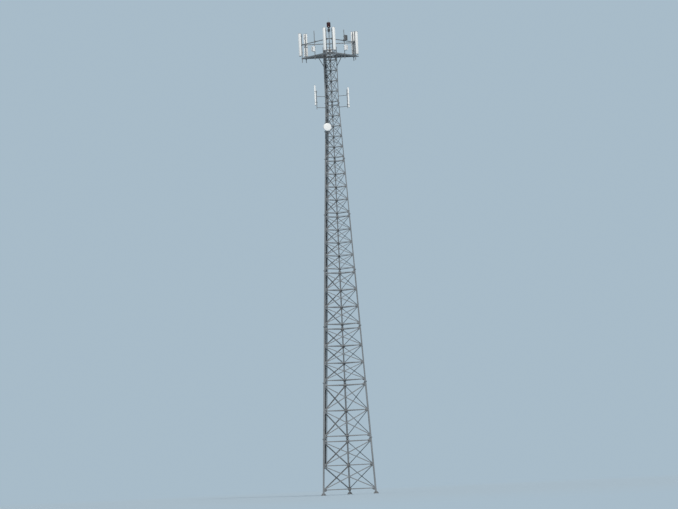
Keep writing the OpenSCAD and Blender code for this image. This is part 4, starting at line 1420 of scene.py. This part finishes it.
def splice_plate(shape, side, z):
    """A plate over a joint in one of the ladder's rails, with four bolts."""
    outer = side * (LADDER_HALF + RAIL_THICK / 2)
    a, b = [ladder_at(outer, LADDER_OFF + LADDER_RAIL / 2, z + end) for end in (-SPLICE_HALF, SPLICE_HALF)]
    at = place_along((a + b) / 2, b - a, LADDER_ACROSS * side)
    shape.box(at, (-0.001, -0.020, -SPLICE_HALF), (SPLICE_T, 0.020, SPLICE_HALF))
    for rise in SPLICE_BOLTS:
        spot = place_along(at @ Vector((0, 0, rise)), LADDER_ACROSS * side)
        shape.bolt(spot, SPLICE_BOLT_D, -RAIL_THICK, SPLICE_T)


def ladder_fixings():
    """Splice plates every six metres, and what holds each bracket bar."""
    shape = Shape()
    for side in (-1, 1):
        for z in SPLICE_LEVELS:
            splice_plate(shape, side, z)
        for j in range(SECTIONS):
            for z in (panel_z(j, 0), panel_z(j, PANELS[j])):
                if z > LADDER_LOW:
                    bracket_fixings(shape, side, j, z)
    shape.make("ladder_fixings")


# Stage, light and camera

SKY = (0.39, 0.50, 0.585)
FLOOR = (0.35, 0.44, 0.505)
FLOOR_SIZE = 3000
FADE_FROM = 50
FADE_TO = 130
COOL = (0.93, 0.96, 1.0)
WARM = (1.0, 0.975, 0.94)
WORLD_STRENGTH = 0.54
SUNS = [("key", 288, 43, 2.4, 6, WARM), ("fill", 200, 25, 0.45, 30, COOL)]
CAMERA_FAR = 320.0
EYE_HEIGHT = 1.6
AIM_HEIGHT = 19.6
ROLL = 2.6
FRAME_ASPECT = 678 / 509
FRAME_HEIGHT = 41.6
SENSOR_W = 36
CLIP_START = 10
CLIP_END = 6000


def background_rays(n):
    """1 for the rays that show the background: from the camera, and off or through the object."""
    path = n.add("LightPath", {}).node.outputs
    seen = n.maths("MAXIMUM", path["Is Camera Ray"], path["Is Glossy Ray"])
    return n.maths("MAXIMUM", seen, path["Is Transmission Ray"])


def show_sky(n, fac, kind):
    """Mixes a shader of the sky's plain colour over the tree's own shader."""
    own = n.shader.outputs[0]
    surface = own.links[0].to_socket
    n.feed(surface, n.add("MixShader", {0: fac, 1: own, 2: n.add(kind, {"Color": SKY})}))


def floor_material():
    """A plain pale floor that fades into the background far from the tower."""
    n = material_nodes("floor_plain")
    cloudy = n.range(n.noise(0.2, 2), 0.3, 0.7, 0, 0.3)
    n.drive(Base_Color=n.mix(cloudy, FLOOR, tinted(FLOOR, 0.97)), Roughness=0.9)
    far = n.add("VectorMath", {0: n.coords}, "Value", operation="LENGTH")
    fade = n.range(far, FADE_FROM, FADE_TO, 0, 1)
    show_sky(n, n.maths("MULTIPLY", fade, background_rays(n)), "Emission")
    return n.owner


def stage():
    """A flat floor that takes the tower's shadow."""
    mesh = bpy.data.meshes.new("floor")
    s = FLOOR_SIZE
    mesh.from_pydata([(-s, -s, 0), (s, -s, 0), (s, s, 0), (-s, s, 0)], [], [(0, 1, 2, 3)])
    mesh.materials.append(floor_material())
    added("floor", mesh)


def world():
    n = Nodes(bpy.data.worlds.new("studio"), "Background")
    n.drive(Color=COOL, Strength=WORLD_STRENGTH)
    show_sky(n, background_rays(n), "Background")
    bpy.context.scene.world = n.owner


def sun(name, azimuth, elevation, strength, angle, colour):
    data = bpy.data.lights.new(name, "SUN")
    data.energy = strength
    data.angle = radians(angle)
    data.color = colour
    e = radians(elevation)
    ray = -(cos(e) * direction(azimuth) + sin(e) * UP)
    added(name, data).rotation_euler = ray.to_track_quat("-Z", "Y").to_euler()


def camera():
    data = bpy.data.cameras.new("camera")
    cam = added("camera", data)
    cam.location = FOOT + Vector((0, -CAMERA_FAR, EYE_HEIGHT))
    way = FOOT + AIM_HEIGHT * UP - cam.location
    look = way.to_track_quat("-Z", "Y").to_matrix().to_4x4()
    cam.rotation_euler = (look @ spin(-ROLL)).to_euler()
    data.sensor_width = SENSOR_W
    data.lens = SENSOR_W / (FRAME_HEIGHT * FRAME_ASPECT) * way.length
    data.clip_start = CLIP_START
    data.clip_end = CLIP_END
    bpy.context.scene.camera = cam


def main():
    dress_nodes()
    for k in LEGS:
        brace_bolts(k)
        gusset_welds(k)
        leg_fixings(k)
        mast_clamps(k)
    step_bolts()
    clamp_bolts()
    arm_welds()
    pipe_caps()
    feeder_cables()
    cable_hangers()
    ladder_fixings()
    for name, angle in (("front", 270), ("left", 150), ("right", 30)):
        grating(f"grating_{name}", angle, name == "left")
    for name, k, mast, lower in PANEL_PLACES:
        panel_antenna(f"panel_{name}", k, MAST_S[k][mast], lower)
    side_antenna(LEFT)
    side_antenna(RIGHT)
    radio_units()
    beacon()
    control_box()
    pole_fixings()
    dish()
    stage()
    world()
    for lamp in SUNS:
        sun(*lamp)
    camera()
    bpy.context.scene.view_settings.view_transform = "Standard"


main()
